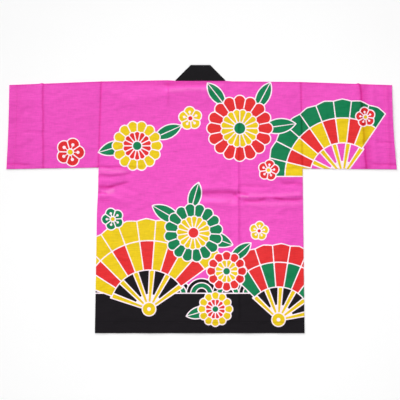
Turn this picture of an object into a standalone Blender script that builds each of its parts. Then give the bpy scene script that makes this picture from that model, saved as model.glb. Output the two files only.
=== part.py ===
"""Happi coat laid out flat with its back upwards and its fronts underneath.

Each piece that is cut and sewn is one object:

    back           the back panel, on top of the two fronts
    front_left     the left front, flat on the ground
    front_right    the right front, flat on the ground
    sleeve_left    a flattened tube, open at the armhole and at the cuff
    sleeve_right   the same on the other side
    collar         one band, up the left front, round the neck and down the right front

Metres, +Z up. +Y points to the collar, so the wearer's left is at -X. The coat
lies on z = 0 and the origin is under the middle of its outline.
"""

import math
from typing import NamedTuple

import bmesh
import bpy

# Thicknesses.
WALL = 0.0012  # one layer of cotton cloth
BAND = 0.0020  # the collar band, two layers pressed together
SEAM = 0.0003  # space between two pieces that are sewn together or lie on each other

# The body: a straight cut, a little wider at the hem.
CENTRE = -0.0038  # the coat's own centre line
HEM = -0.4290
NECK_LINE = 0.3780  # where the collar is sewn to the back
NECK_HALF = 0.0788  # half the width of the neck


class BodyRow(NamedTuple):
    """The two sides of the body at one height."""

    y: float
    left: float
    right: float


BODY = (
    BodyRow(y=0.3763, left=-0.3210, right=0.3178),  # shoulder
    BodyRow(y=0.1000, left=-0.3299, right=0.3232),  # armpit
    BodyRow(y=HEM, left=-0.3392, right=0.3296),
)


class ShoulderPoint(NamedTuple):
    """One point of the shoulder line across the body."""

    x: float
    y: float


SHOULDER = (
    ShoulderPoint(x=-0.3400, y=0.3758),
    ShoulderPoint(x=-0.1070, y=0.3802),
    ShoulderPoint(x=CENTRE - NECK_HALF, y=NECK_LINE),
    ShoulderPoint(x=CENTRE + NECK_HALF, y=NECK_LINE),
    ShoulderPoint(x=0.0980, y=0.3765),
    ShoulderPoint(x=0.3300, y=0.3742),
)


class Cuff(NamedTuple):
    """The open end of a sleeve, and the height of its underarm seam at the body."""

    top_x: float
    top_y: float
    under_x: float
    under_y: float
    armpit_y: float


CUFFS = {
    "left": Cuff(top_x=-0.6150, top_y=0.3648, under_x=-0.6245, under_y=0.0954, armpit_y=0.1005),
    "right": Cuff(top_x=0.6090, top_y=0.3644, under_x=0.6245, under_y=0.0947, armpit_y=0.0975),
}

# The collar band and how it lies: its neck part over its two front parts.
COLLAR_WIDTH = 0.0505
COLLAR_TURN = (BAND + SEAM) / 2  # radius of the fold at each corner of the neck

# How the upper layer lies over the lower one.
LOFT = 0.0016  # how far it stands clear in the middle of a panel
LOFT_EDGE = 0.060  # over which width that clearance grows from an edge
BAND_SLOPE = 0.015  # over which width the back climbs onto the collar band


class Crease(NamedTuple):
    """A crest or a trough in the upper layer, from one end to the other."""

    name: str
    x0: float
    y0: float
    x1: float
    y1: float
    rise: float  # height of the crest, or depth of the trough if negative
    reach: float  # from the crest to the flat cloth beside it


UPRIGHT_CREASES = (
    Crease("left sleeve fold", -0.507, 0.365, -0.507, 0.100, rise=-0.0014, reach=0.009),
    Crease("right sleeve fold", 0.507, 0.366, 0.527, 0.096, rise=-0.0014, reach=0.009),
    Crease("back fold", 0.1175, 0.260, 0.1200, -0.360, rise=0.0022, reach=0.012),
    Crease("neck fold", -0.1070, 0.372, -0.1070, 0.300, rise=-0.0010, reach=0.010),
)
LEVEL_CREASES = (
    Crease("left armpit fold", -0.329, 0.103, -0.190, 0.104, rise=-0.0012, reach=0.008),
    Crease("right armpit fold", 0.170, 0.099, 0.323, 0.097, rise=-0.0012, reach=0.008),
    Crease("left side crest", -0.330, 0.086, -0.258, 0.084, rise=0.0018, reach=0.009),
    Crease("left side roll", -0.331, 0.058, -0.250, 0.062, rise=0.0030, reach=0.016),
    Crease("left side trough", -0.332, 0.028, -0.235, 0.032, rise=-0.0014, reach=0.012),
    Crease("right side dip", 0.262, 0.046, 0.318, 0.046, rise=-0.0012, reach=0.007),
    Crease("middle dip", 0.135, 0.041, 0.210, 0.039, rise=-0.0012, reach=0.007),
    Crease("waist trough", 0.000, 0.009, 0.110, 0.007, rise=-0.0015, reach=0.011),
    Crease("waist crest", 0.128, 0.010, 0.326, 0.006, rise=0.0036, reach=0.012),
    Crease("waist groove", 0.150, -0.009, 0.326, -0.009, rise=-0.0015, reach=0.010),
)
CREASES = UPRIGHT_CREASES + LEVEL_CREASES
CREASE_FADE = 0.030  # past its ends, the length over which a crease dies out

# Spacing of the points that carry the form.
PITCH = 0.034  # on open cloth
FRONT_PITCH = 0.090  # on the flat fronts
CLOSEST = 0.0042  # between two grid lines
SLEEVE_STEPS = 12  # across a sleeve's upper layer
TURN_STEPS = 6  # round a fold

PINK = (0.855, 0.091, 0.539)
BLACK = (0.016, 0.014, 0.016)


def between(table, column, at, value):
    """Read `value` from a table at one place of its `column`, straight between rows."""
    rows = sorted(table, key=lambda row: getattr(row, column))
    at = min(max(at, getattr(rows[0], column)), getattr(rows[-1], column))
    for low, high in zip(rows, rows[1:]):
        if at <= getattr(high, column):
            break
    span = getattr(high, column) - getattr(low, column)
    share = (at - getattr(low, column)) / span
    return getattr(low, value) * (1 - share) + getattr(high, value) * share


def mix(start, end, share):
    """The value a share of the way from start to end."""
    return start + (end - start) * share


def ease(share):
    """Rise softly from 0 to 1."""
    share = min(max(share, 0.0), 1.0)
    return share * share * (3 - 2 * share)


def crease_height(x, y):
    """How much the creases raise or lower the upper layer at one point."""
    height = 0.0
    for crease in CREASES:
        along_x = crease.x1 - crease.x0
        along_y = crease.y1 - crease.y0
        length = math.hypot(along_x, along_y)
        along = ((x - crease.x0) * along_x + (y - crease.y0) * along_y) / length
        aside = abs((x - crease.x0) * along_y - (y - crease.y0) * along_x) / length
        if aside < crease.reach:
            end = min(along, length - along)
            profile = (1 - aside / crease.reach) ** 1.5
            height += crease.rise * profile * ease(1 + end / CREASE_FADE)
    return height


def upper_layer(x, y, *from_edges):
    """Middle of the upper layer's wall, by how far the point lies from each edge."""
    loft = LOFT
    for distance in from_edges:
        loft *= ease(distance / LOFT_EDGE)
    from_band = abs(x - CENTRE) - NECK_HALF
    on_band = (BAND - WALL) * ease(1 - (from_band - BAND_SLOPE / 3) / BAND_SLOPE)
    return 1.5 * WALL + SEAM + on_band + max(loft + crease_height(x, y), 0.0)


def grid_lines(low, high, pitch, folds=()):
    """Grid lines from low to high, an even pitch apart, with five across each fold."""
    count = math.ceil((high - low) / pitch)
    even = [mix(low, high, step / count) for step in range(1, count)]
    across = [centre + reach * step / 2 for centre, reach in folds for step in range(-2, 3)]
    lines = [low, high]
    for line in across + even:
        clear = CLOSEST if line in across else pitch / 4
        if all(abs(line - other) >= clear for other in lines) and low < line < high:
            lines.append(line)
    return sorted(lines)


def material(name, colour, roughness):
    """A plain cloth material."""
    made = bpy.data.materials.new(name)
    made.use_nodes = True
    shader = made.node_tree.nodes["Principled BSDF"]
    shader.inputs["Base Color"].default_value = (*colour, 1.0)
    shader.inputs["Roughness"].default_value = roughness
    shader.inputs["Metallic"].default_value = 0.0
    return made


def cloth(name, rows, thickness, colour, ring=False):
    """Make one piece of cloth: a grid of points, thickened evenly to both sides.

    Each row holds the same number of points. A ring's rows close on themselves.
    """
    shape = bmesh.new()
    grid = [[shape.verts.new(point) for point in row] for row in rows]
    for lower, upper in zip(grid, grid[1:]):
        for here in range(-1 if ring else 0, len(lower) - 1):
            shape.faces.new((lower[here], lower[here + 1], upper[here + 1], upper[here]))
    mesh = bpy.data.meshes.new(name)
    shape.to_mesh(mesh)
    shape.free()
    mesh.materials.append(material(f"{name}_cotton", colour, roughness=0.85))
    mesh.shade_smooth()
    piece = bpy.data.objects.new(name, mesh)
    bpy.context.collection.objects.link(piece)
    wall = piece.modifiers.new("wall", "SOLIDIFY")
    wall.thickness = thickness
    wall.offset = 0.0
    return piece


def build_back():
    """The back panel: it lies on the fronts and the collar, and carries the creases."""
    upright = [((crease.x0 + crease.x1) / 2, crease.reach) for crease in UPRIGHT_CREASES]
    upright += [(CENTRE + sign * NECK_HALF, BAND_SLOPE) for sign in (-1, 1)]
    level = [((crease.y0 + crease.y1) / 2, crease.reach) for crease in LEVEL_CREASES]
    columns = grid_lines(BODY[0].left, BODY[0].right, PITCH, upright)
    rows = []
    for line_y in grid_lines(HEM, BODY[0].y, PITCH, level):
        left = between(BODY, "y", line_y, "left") + SEAM / 2
        right = between(BODY, "y", line_y, "right") - SEAM / 2
        row = []
        for x in (left, *columns[1:-1], right):
            top = between(SHOULDER, "x", x, "y") - SEAM / 2
            y = mix(HEM, top, (line_y - HEM) / (BODY[0].y - HEM))
            row.append((x, y, upper_layer(x, y, x - left, right - x, top - y, y - HEM)))
        rows.append(row)
    return cloth("back", rows, WALL, PINK)


def build_front(side):
    """One front panel, flat on the ground from the side seam to the collar seam."""
    collar_seam = CENTRE + (NECK_HALF + SEAM / 2) * (1 if side == "right" else -1)
    rows = []
    for line_y in grid_lines(HEM, BODY[0].y, FRONT_PITCH):
        side_seam = between(BODY, "y", line_y, side)
        row = []
        for line_x in grid_lines(*sorted((side_seam, collar_seam)), FRONT_PITCH):
            top = between(SHOULDER, "x", line_x, "y") - SEAM / 2
            up = (line_y - HEM) / (BODY[0].y - HEM)
            row.append((line_x, mix(HEM, top, up), WALL / 2))
        rows.append(row)
    return cloth(f"front_{side}", rows, WALL, PINK)


def sleeve_section(side, along):
    """Points round a sleeve, a share of the way from the armhole to the cuff."""
    cuff = CUFFS[side]
    seam = SEAM / 2 if side == "right" else -SEAM / 2
    armhole_top = between(SHOULDER, "x", getattr(BODY[0], side), "y")
    under_edge = mix(cuff.armpit_y, cuff.under_y, along)
    top_edge = mix(armhole_top, cuff.top_y, along)
    turn = (WALL + SEAM) / 2
    under = under_edge + turn + WALL / 2
    top = top_edge - turn - WALL / 2

    def place(y):
        armhole = between(BODY, "y", y, side) + seam
        up = (y - under_edge) / (top_edge - under_edge)
        return mix(armhole, mix(cuff.under_x, cuff.top_x, up), along)

    def fold(edge_y, sign):
        points = []
        for step in range(1, TURN_STEPS):
            angle = math.pi * step / TURN_STEPS
            y = edge_y + sign * turn * math.sin(angle)
            points.append((place(y), y, WALL / 2 + turn * (1 - sign * math.cos(angle))))
        return points

    lower = []
    for step in range(SLEEVE_STEPS // 2 + 1):
        y = mix(under, top, 2 * step / SLEEVE_STEPS)
        lower.append((place(y), y, WALL / 2))
    upper = []
    for step in range(SLEEVE_STEPS + 1):
        y = mix(top, under, step / SLEEVE_STEPS)
        from_armhole = abs(place(y) - between(BODY, "y", y, side))
        upper.append((place(y), y, upper_layer(place(y), y, y - under, top - y, from_armhole)))
    return lower + fold(top, 1) + upper + fold(under, -1)


def build_sleeve(side):
    """One sleeve: a flattened tube, folded on the shoulder line and under the arm."""
    cuff = CUFFS[side]
    armhole = getattr(BODY[0], side)
    length = abs(cuff.under_x - armhole)
    folds = []
    for crease in UPRIGHT_CREASES:
        if abs(crease.x0) > abs(armhole) and crease.x0 * armhole > 0:
            for x, cuff_x in ((crease.x0, cuff.top_x), (crease.x1, cuff.under_x)):
                folds.append((length * (x - armhole) / (cuff_x - armhole), crease.reach))
    rows = [sleeve_section(side, line / length) for line in grid_lines(0, length, PITCH, folds)]
    if side == "left":
        rows.reverse()
    return cloth(f"sleeve_{side}", rows, WALL, PINK, ring=True)


def collar_half(sign):
    """Rows of points across the band, from the middle of the neck to the hem of one front.

    At the corner of the neck the band folds on a 45 degree line and runs on
    underneath itself, square to the way it came.
    """
    middle = BAND / 2 + COLLAR_TURN
    shares = [mix(SEAM / 2 / COLLAR_WIDTH, 1, step / 3) for step in range(4)]
    rows = []
    for step in range(TURN_STEPS + 1):
        angle = math.pi * step / TURN_STEPS
        out = COLLAR_TURN * math.sin(angle) / math.sqrt(2)
        row = []
        for share in shares:
            x = NECK_HALF - share * COLLAR_WIDTH + out * (1 + share)
            y = NECK_LINE + share * COLLAR_WIDTH + out * (1 - share)
            row.append((CENTRE + sign * x, y, middle + COLLAR_TURN * math.cos(angle)))
        rows.append(row)
    for y in reversed(grid_lines(HEM, NECK_LINE - COLLAR_WIDTH / 4, FRONT_PITCH)):
        rows.append([(CENTRE + sign * (NECK_HALF - share * COLLAR_WIDTH), y, BAND / 2)
                     for share in shares])
    return rows


def build_collar():
    """The collar band in one piece, from the hem of one front to that of the other."""
    rows = list(reversed(collar_half(-1))) + collar_half(1)
    return cloth("collar", rows, BAND, BLACK)


def main():
    """Clear the scene and build the coat."""
    for old in list(bpy.data.objects):
        bpy.data.objects.remove(old)
    build_back()
    build_collar()
    for side in ("left", "right"):
        build_front(side)
        build_sleeve(side)


main()
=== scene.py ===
"""The finished look of a happi coat laid out flat with its back upwards.

Each cut piece of the coat is a thin cloth shell on the form of its solid: the
back and the two fronts, the sleeves as flattened tubes, and the folded collar
band. The print is drawn as silk screens are: for each ink one field gives the
distance to the edge of what it covers, and the cloth shows where no ink lies.

Metres, +Z up, +Y towards the collar, the wearer's left at -X. Sizes of the
print and of the creases are in millimetres, as a maker would write them down.
"""

from __future__ import annotations

import logging
import math
from collections.abc import Callable, Mapping
from dataclasses import dataclass, field
from enum import Enum

import bpy
import numpy as np
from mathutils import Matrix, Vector

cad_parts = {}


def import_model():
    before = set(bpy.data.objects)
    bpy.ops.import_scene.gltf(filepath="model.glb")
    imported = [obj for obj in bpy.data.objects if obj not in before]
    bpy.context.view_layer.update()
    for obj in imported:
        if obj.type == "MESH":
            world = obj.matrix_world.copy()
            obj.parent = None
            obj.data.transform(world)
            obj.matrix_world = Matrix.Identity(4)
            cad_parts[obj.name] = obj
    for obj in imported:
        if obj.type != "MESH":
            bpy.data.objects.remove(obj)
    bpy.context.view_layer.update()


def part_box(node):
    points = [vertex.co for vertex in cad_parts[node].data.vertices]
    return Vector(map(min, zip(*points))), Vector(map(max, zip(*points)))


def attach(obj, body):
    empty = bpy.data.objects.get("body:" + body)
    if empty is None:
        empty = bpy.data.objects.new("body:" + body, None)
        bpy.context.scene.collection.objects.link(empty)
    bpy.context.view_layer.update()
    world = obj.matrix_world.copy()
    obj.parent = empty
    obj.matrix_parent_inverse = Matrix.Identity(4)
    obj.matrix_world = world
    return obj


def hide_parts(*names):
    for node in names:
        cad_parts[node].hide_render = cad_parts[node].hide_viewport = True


Array = np.ndarray
Pair = tuple[float, float]
Triple = tuple[float, float, float]
Piece = bpy.types.Object
Material = bpy.types.Material
Tree = bpy.types.NodeTree
Socket = bpy.types.NodeSocket
LOG = logging.getLogger("happi")
MM = 0.001
BODY = "root"


class Side(Enum):
    """The wearer's left and right, with the sign of X on that side."""

    LEFT = -1
    RIGHT = 1

    @property
    def word(self) -> str:
        """The side's name as the nodes spell it."""
        return self.name.lower()


class Ink(Enum):
    """The printing inks, in sRGB; the value's first part names the screen."""

    GROUND = ("ground", "#EC50BE")
    BLACK = ("black", "#1C191D")
    YELLOW = ("yellow", "#E8C714")
    RED = ("red", "#E02C2F")
    GREEN = ("green", "#067C4D")

    @property
    def screen(self) -> str:
        """Name of the point attribute that holds this ink's screen."""
        return f"screen_{self.value[0]}"

    @property
    def hex_colour(self) -> str:
        """The ink's sRGB colour."""
        return self.value[1]


LINE = 3.6  # millimetres of bare cloth between two inks
DOT = 4.0  # radius in millimetres that every bare dot is scaled to in its field
LINE_FIELDS = ("outline_a", "outline_b", "outline_c", "ribs")


# ---- Small helpers ----


def linear(hex_colour: str) -> tuple[float, float, float, float]:
    """Turn an sRGB hex colour into linear RGBA.

    Args:
        hex_colour: Six hex digits after a hash sign.

    Returns:
        Linear red, green, blue and an alpha of 1.
    """
    channels = [int(hex_colour[i : i + 2], 16) / 255 for i in (1, 3, 5)]
    curve = [c / 12.92 if c <= 0.04045 else ((c + 0.055) / 1.055) ** 2.4 for c in channels]
    return (curve[0], curve[1], curve[2], 1.0)


def ease(share: Array | float) -> Array:
    """Rise softly from 0 to 1: three times the square less twice the cube."""
    share = np.clip(share, 0.0, 1.0)
    return share * share * (3 - 2 * share)


def mix(start: Array | float, end: Array | float, share: Array | float) -> Array | float:
    """The value a share of the way from start to end."""
    return start + (end - start) * share


def bell(distance: Array, width: float) -> Array:
    """A bell curve, 1 at no distance and about a third one width away."""
    return np.exp(-((distance / width) ** 2))


def well_in(width: float, *distances: Array) -> Array:
    """1 where every distance is at least the width, easing to 0 where any of them is 0."""
    return math.prod(ease(distance / width) for distance in distances)


def alternate(number: Array) -> Array:
    """1 for an even number and -1 for an odd one."""
    return 1 - 2 * (number % 2)


def placed(x: Array, y: Array, z: Array | float) -> Array:
    """Points from their three coordinates, spread to one shape."""
    return np.stack(np.broadcast_arrays(x, y, z), axis=-1)


def edge_drop(distance: Array, radius: Array | float) -> Array:
    """How far a quarter-round edge of that radius falls below the flat, at a distance in from it."""
    inward = np.clip(radius - distance, 0.0, radius)
    return radius - np.sqrt(np.maximum(radius**2 - inward**2, 0.0))


def edge_lines(
    length: float, pitch: float, fine: tuple[float, ...], zones: tuple[Triple, ...] = ()
) -> tuple[Array, int]:
    """Distances across a panel, crowded at both edges and where a fold needs it.

    Args:
        length: Distance from edge to edge.
        pitch: Spacing in the middle.
        fine: Distances in from each edge that get a line of their own.
        zones: Start, end and spacing of each crowded zone.

    Returns:
        All distances in order, and how many lines there are at each edge.
    """
    count = math.ceil((length - 2 * fine[-1]) / pitch)
    middle = np.linspace(fine[-1], length - fine[-1], count + 1)[1:-1]
    for start, end, step in zones:
        clear = 0.6 * step  # an even line nearer to the crowded zone than this is left out
        kept = middle[(middle < start - clear) | (middle > end + clear)]
        middle = np.sort(np.concatenate([kept, np.arange(start, end + step / 2, step)]))
    near = np.array(fine)
    return np.concatenate([near, middle, length - near[::-1]]), len(fine)


def set_inputs(tree: Tree, node: bpy.types.Node, inputs: Mapping[str | int, object]) -> None:
    """Give a node's sockets their values and links.

    Args:
        tree: The node tree.
        node: The node.
        inputs: By socket name or number, a value or an output socket to link.
    """
    for socket, value in inputs.items():
        if isinstance(value, Socket):
            tree.links.new(value, node.inputs[socket])
        else:
            node.inputs[socket].default_value = value


def add_node(
    tree: Tree,
    kind: str,
    settings: Mapping[str, object] | None = None,
    inputs: Mapping[str | int, object] | None = None,
) -> bpy.types.Node:
    """Add a shader node with its settings, values and links.

    Args:
        tree: The material's node tree.
        kind: Blender's name of the node type.
        settings: Properties of the node.
        inputs: By socket name or number, a value or an output socket to link.

    Returns:
        The new node.
    """
    made = tree.nodes.new(kind)
    for name, value in (settings or {}).items():
        setattr(made, name, value)
    set_inputs(tree, made, inputs or {})
    return made


def link_piece(name: str, mesh: bpy.types.Mesh) -> Piece:
    """Put a mesh in the scene, shaded smooth.

    Args:
        name: The object's name.
        mesh: Its mesh.

    Returns:
        The object.
    """
    mesh.shade_smooth()
    piece = bpy.data.objects.new(name, mesh)
    bpy.context.collection.objects.link(piece)
    return piece


def grid_object(name: str, points: Array, ring: bool = False, caps: bool = False) -> Piece:
    """Make an object of quads from a grid of points.

    A face's normal is the direction along a row crossed with that from row to row.

    Args:
        name: The object's name.
        points: Array of rows by columns by 3.
        ring: Whether each row closes on itself.
        caps: Whether the first and last rings are filled with a face each.

    Returns:
        The linked object, shaded smooth.
    """
    rows, columns = points.shape[:2]
    index = np.arange(rows * columns).reshape(rows, columns)
    if ring:
        index = np.concatenate([index, index[:, :1]], axis=1)
    corners = (index[:-1, :-1], index[:-1, 1:], index[1:, 1:], index[1:, :-1])
    loops = np.stack(corners, axis=-1).reshape(-1)
    starts = np.arange(0, len(loops), 4)
    if caps:
        starts = np.append(starts, [len(loops), len(loops) + columns])
        loops = np.concatenate([loops, index[0, :columns][::-1], index[-1, :columns]])
    mesh = bpy.data.meshes.new(name)
    mesh.vertices.add(rows * columns)
    mesh.vertices.foreach_set("co", points.astype(np.float32).ravel())
    mesh.loops.add(len(loops))
    mesh.loops.foreach_set("vertex_index", loops.astype(np.int32))
    mesh.polygons.add(len(starts))
    mesh.polygons.foreach_set("loop_start", starts.astype(np.int32))
    mesh.update(calc_edges=True)
    return link_piece(name, mesh)


# ---- Finishes ----


COLOUR = {"data_type": "RGBA"}  # settings of a node that mixes two colours
MULTIPLY = COLOUR | {"blend_type": "MULTIPLY"}


def blank_material(name: str) -> tuple[Material, Tree]:
    """Make a material with nodes.

    Args:
        name: The material's name.

    Returns:
        The material and its node tree.
    """
    made = bpy.data.materials.new(name)
    made.use_nodes = True
    return made, made.node_tree


@dataclass(frozen=True)
class SlubYarn:
    """Uneven plain-weave yarn: thick places that run along the weft, which is X here.

    The real thread is about 0.4 mm, too fine to show, so the streaks are drawn
    as coarse as the thick places of several neighbouring threads together.
    Lengths and the relief are in millimetres.
    """

    streak_length: float = 26.0
    streak_width: float = 3.4
    warp_length: float = 16.0
    warp_share: float = 0.3
    relief: float = 0.16
    bump: float = 0.5

    def build(self, tree: Tree) -> tuple[Socket, Socket]:
        """Add the yarn's nodes: noise drawn out along the weft, crossed by some along the warp.

        Args:
            tree: The material's node tree.

        Returns:
            The streaks as a value about 0.5, and the bumped normal.
        """
        place = add_node(tree, "ShaderNodeTexCoord").outputs["Object"]
        threads = []
        for size_x, size_y, detail, roughness in (
            (self.streak_length, self.streak_width, 3.0, 0.6),
            (self.streak_width, self.warp_length, 2.0, 0.5),
        ):
            scale = (1 / (size_x * MM), 1 / (size_y * MM), 1 / (size_x * MM))
            drawn = add_node(tree, "ShaderNodeMapping", inputs={"Vector": place, "Scale": scale})
            noise = {"Vector": drawn.outputs[0], "Scale": 1.0, "Detail": detail, "Roughness": roughness}
            threads.append(add_node(tree, "ShaderNodeTexNoise", inputs=noise).outputs["Fac"])
        woven = {"Factor": self.warp_share, 2: threads[0], 3: threads[1]}
        streaks = add_node(tree, "ShaderNodeMix", {"data_type": "FLOAT"}, woven).outputs[0]
        relief = {"Strength": self.bump, "Distance": self.relief * MM, "Height": streaks}
        return streaks, add_node(tree, "ShaderNodeBump", inputs=relief).outputs[0]


@dataclass(frozen=True)
class PrintedCotton:
    """Slub cotton, screen printed with pigment and pressed: nearly matt, with crisp ink edges.

    The inks lie on bleached cloth, which shows as the white lines between them.
    `strength` is how much of the ink shows: all of it on the face, and a pale
    shadow on the reverse, where it has only soaked through. Shade and highlight
    along creases and seams are painted into the colour from a point attribute:
    painted shade deepens the ink by a share of its own colour, standing for light
    that meets the cloth twice in a fold, and darkens it a little besides; a
    painted highlight mixes it towards the bare cloth. `edge` is half the width
    in millimetres over which an ink's edge fades.
    """

    name: str
    strength: float
    cloth: str = "#FFEDF6"
    edge: float = 0.35
    mottle: float = 0.12
    thin_yarn: float = 0.3
    thick_yarn: float = 0.7
    roughness: float = 0.46
    black_roughness: float = 0.95
    specular: float = 0.12
    # painted shade in folds: how much the ink is deepened by its own colour, and how much it is darkened
    painted_fold_depth: float = 2.0
    fold_shade: float = 0.2

    def build(self) -> Material:
        """Make the material; its screens and its painted shade and highlight are point attributes of the
        cloth.

        Returns:
            The material.
        """
        made, tree = blank_material(self.name)
        streaks, normal = SlubYarn().build(tree)
        cloth = linear(self.cloth)
        colour: object = cloth
        for ink in Ink:
            layer = {0: self._cover(tree, ink), 6: colour, 7: linear(ink.hex_colour)}
            colour = add_node(tree, "ShaderNodeMix", COLOUR, layer).outputs[2]
        lines = {0: self._bare(tree), 6: colour, 7: cloth}
        printed = add_node(tree, "ShaderNodeMix", COLOUR, lines).outputs[2]
        slubs = {"Value": streaks, "From Min": self.thin_yarn, "From Max": self.thick_yarn}
        slubs |= {"To Min": 1.0 - self.mottle, "To Max": 1.0 + self.mottle}
        shade = add_node(tree, "ShaderNodeMapRange", inputs=slubs).outputs[0]
        # Painted shade and highlight from the point attribute: below zero it deepens and darkens the
        # colour, as painted shade in creases and along seams; above zero it mixes the colour towards the
        # bare cloth, as a painted highlight.
        tone = add_node(tree, "ShaderNodeAttribute", {"attribute_name": "tone"}).outputs["Fac"]
        below = {"Value": tone, "From Min": 0.0, "From Max": -1.0, "To Min": 0.0}
        deeper, darker = (
            add_node(tree, "ShaderNodeMapRange", inputs=below | {"To Max": size}).outputs[0]
            for size in (self.painted_fold_depth, -self.fold_shade)
        )
        painted_highlight = add_node(tree, "ShaderNodeClamp", inputs={"Value": tone}).outputs[0]
        folded = add_node(tree, "ShaderNodeMix", MULTIPLY, {0: deeper, 6: printed, 7: printed}).outputs[2]
        slub_and_painted_shade = add_node(tree, "ShaderNodeMath", {"operation": "ADD"}, {0: shade, 1: darker}).outputs[0]
        mottled_and_painted_shade = add_node(tree, "ShaderNodeMix", MULTIPLY, {0: 1.0, 6: folded, 7: slub_and_painted_shade}).outputs[2]
        with_painted_highlight = add_node(tree, "ShaderNodeMix", COLOUR, {0: painted_highlight, 6: mottled_and_painted_shade, 7: cloth}).outputs[2]
        black = self._cover(tree, Ink.BLACK)
        matt = {"Value": black, "To Min": self.roughness, "To Max": self.black_roughness}
        surface = {
            "Base Color": with_painted_highlight,
            "Normal": normal,
            "Roughness": add_node(tree, "ShaderNodeMapRange", inputs=matt).outputs[0],
            "Specular IOR Level": self.specular,
        }
        set_inputs(tree, tree.nodes["Principled BSDF"], surface)
        return made

    def _cover(self, tree: Tree, ink: Ink) -> Socket:
        """How much of the cloth an ink hides, from its screen.

        Args:
            tree: The material's node tree.
            ink: The ink.

        Returns:
            The share that it covers.
        """
        screen = add_node(tree, "ShaderNodeAttribute", {"attribute_name": ink.screen}).outputs["Fac"]
        fade = {"Value": screen, "From Min": -self.edge, "From Max": self.edge}
        fade |= {"To Min": self.strength, "To Max": 0.0}
        return add_node(tree, "ShaderNodeMapRange", inputs=fade).outputs[0]

    def _bare(self, tree: Tree) -> Socket:
        """How much of the cloth the lines and the dots leave bare, from the distance to the nearest.

        Args:
            tree: The material's node tree.

        Returns:
            The bare share.
        """
        half = LINE / 2
        spot = add_node(tree, "ShaderNodeAttribute", {"attribute_name": "spot"}).outputs["Vector"]
        reach = add_node(tree, "ShaderNodeVectorMath", {"operation": "LENGTH"}, {0: spot}).outputs["Value"]
        outside = {0: reach, 1: DOT - half}
        nearest = add_node(tree, "ShaderNodeMath", {"operation": "SUBTRACT"}, outside).outputs[0]
        for name in LINE_FIELDS:
            stored = add_node(tree, "ShaderNodeAttribute", {"attribute_name": name}).outputs["Fac"]
            distance = add_node(tree, "ShaderNodeMath", {"operation": "ABSOLUTE"}, {0: stored})
            both = {0: nearest, 1: distance.outputs[0]}
            nearest = add_node(tree, "ShaderNodeMath", {"operation": "MINIMUM"}, both).outputs[0]
        fade = {"Value": nearest, "From Min": half - self.edge, "From Max": half + self.edge}
        fade |= {"To Min": 1.0, "To Max": 0.0}
        return add_node(tree, "ShaderNodeMapRange", inputs=fade).outputs[0]


@dataclass(frozen=True)
class DyedCotton:
    """Cotton dyed through in one colour, as the collar band and the sewing thread are.

    It looks even and dull, with a faint bloom where its fibres catch light from the side.
    """

    name: str
    colour: str
    pale: str
    thin_yarn: float = 0.3
    thick_yarn: float = 0.75
    roughness: float = 0.8
    specular: float = 0.16
    sheen: float = 0.05
    sheen_roughness: float = 0.45
    yarn: SlubYarn = SlubYarn(streak_length=18.0, streak_width=2.6, relief=0.22)

    def build(self) -> Material:
        """Make the material, with the yarn's thick places a little paler.

        Returns:
            The material.
        """
        made, tree = blank_material(self.name)
        streaks, normal = self.yarn.build(tree)
        span = {"Value": streaks, "From Min": self.thin_yarn, "From Max": self.thick_yarn}
        share = add_node(tree, "ShaderNodeMapRange", inputs=span).outputs[0]
        shades = {0: share, 6: linear(self.colour), 7: linear(self.pale)}
        surface = {
            "Base Color": add_node(tree, "ShaderNodeMix", COLOUR, shades).outputs[2],
            "Normal": normal,
            "Roughness": self.roughness,
            "Specular IOR Level": self.specular,
            "Sheen Weight": self.sheen,
            "Sheen Roughness": self.sheen_roughness,
        }
        set_inputs(tree, tree.nodes["Principled BSDF"], surface)
        return made


@dataclass(frozen=True)
class PaleFloor:
    """A matt painted table top, just uneven enough not to look like a flat colour.

    `unevenness` is how many patches of the second shade there are to a metre.
    """

    name: str = "pale_matt_floor"
    colour: str = "#FFFFFF"
    shade: str = "#FCFCFC"
    unevenness: float = 3.0
    detail: float = 4.0
    roughness: float = 0.9
    specular: float = 0.2

    def build(self) -> Material:
        """Make the material.

        Returns:
            The material.
        """
        made, tree = blank_material(self.name)
        place = add_node(tree, "ShaderNodeTexCoord").outputs["Object"]
        patches = {"Vector": place, "Scale": self.unevenness, "Detail": self.detail}
        noise = add_node(tree, "ShaderNodeTexNoise", inputs=patches).outputs["Fac"]
        shades = {0: noise, 6: linear(self.colour), 7: linear(self.shade)}
        surface = {
            "Base Color": add_node(tree, "ShaderNodeMix", COLOUR, shades).outputs[2],
            "Roughness": self.roughness,
            "Specular IOR Level": self.specular,
        }
        set_inputs(tree, tree.nodes["Principled BSDF"], surface)
        return made


# ---- How the coat is cut and how it lies ----


LAYER = 1.2 * MM  # height that one layer takes up
GAP = 0.3 * MM  # between two layers
CLOTH = 0.6 * MM  # the cloth itself
BAND = 2.0 * MM  # the collar band, folded double
FOLD = (2 * LAYER + GAP) / 2  # radius of a pressed fold round two layers


def both_sides(left: float, right: float) -> Mapping[Side, float]:
    """A dataclass field with one size for each side of the coat."""
    return field(default_factory=lambda: {Side.LEFT: left, Side.RIGHT: right})


@dataclass(frozen=True)
class Cuff:
    """The open end of a sleeve, from the shoulder fold to the underarm."""

    top_x: float
    top_y: float
    under_x: float
    under_y: float
    armpit_y: float


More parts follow.
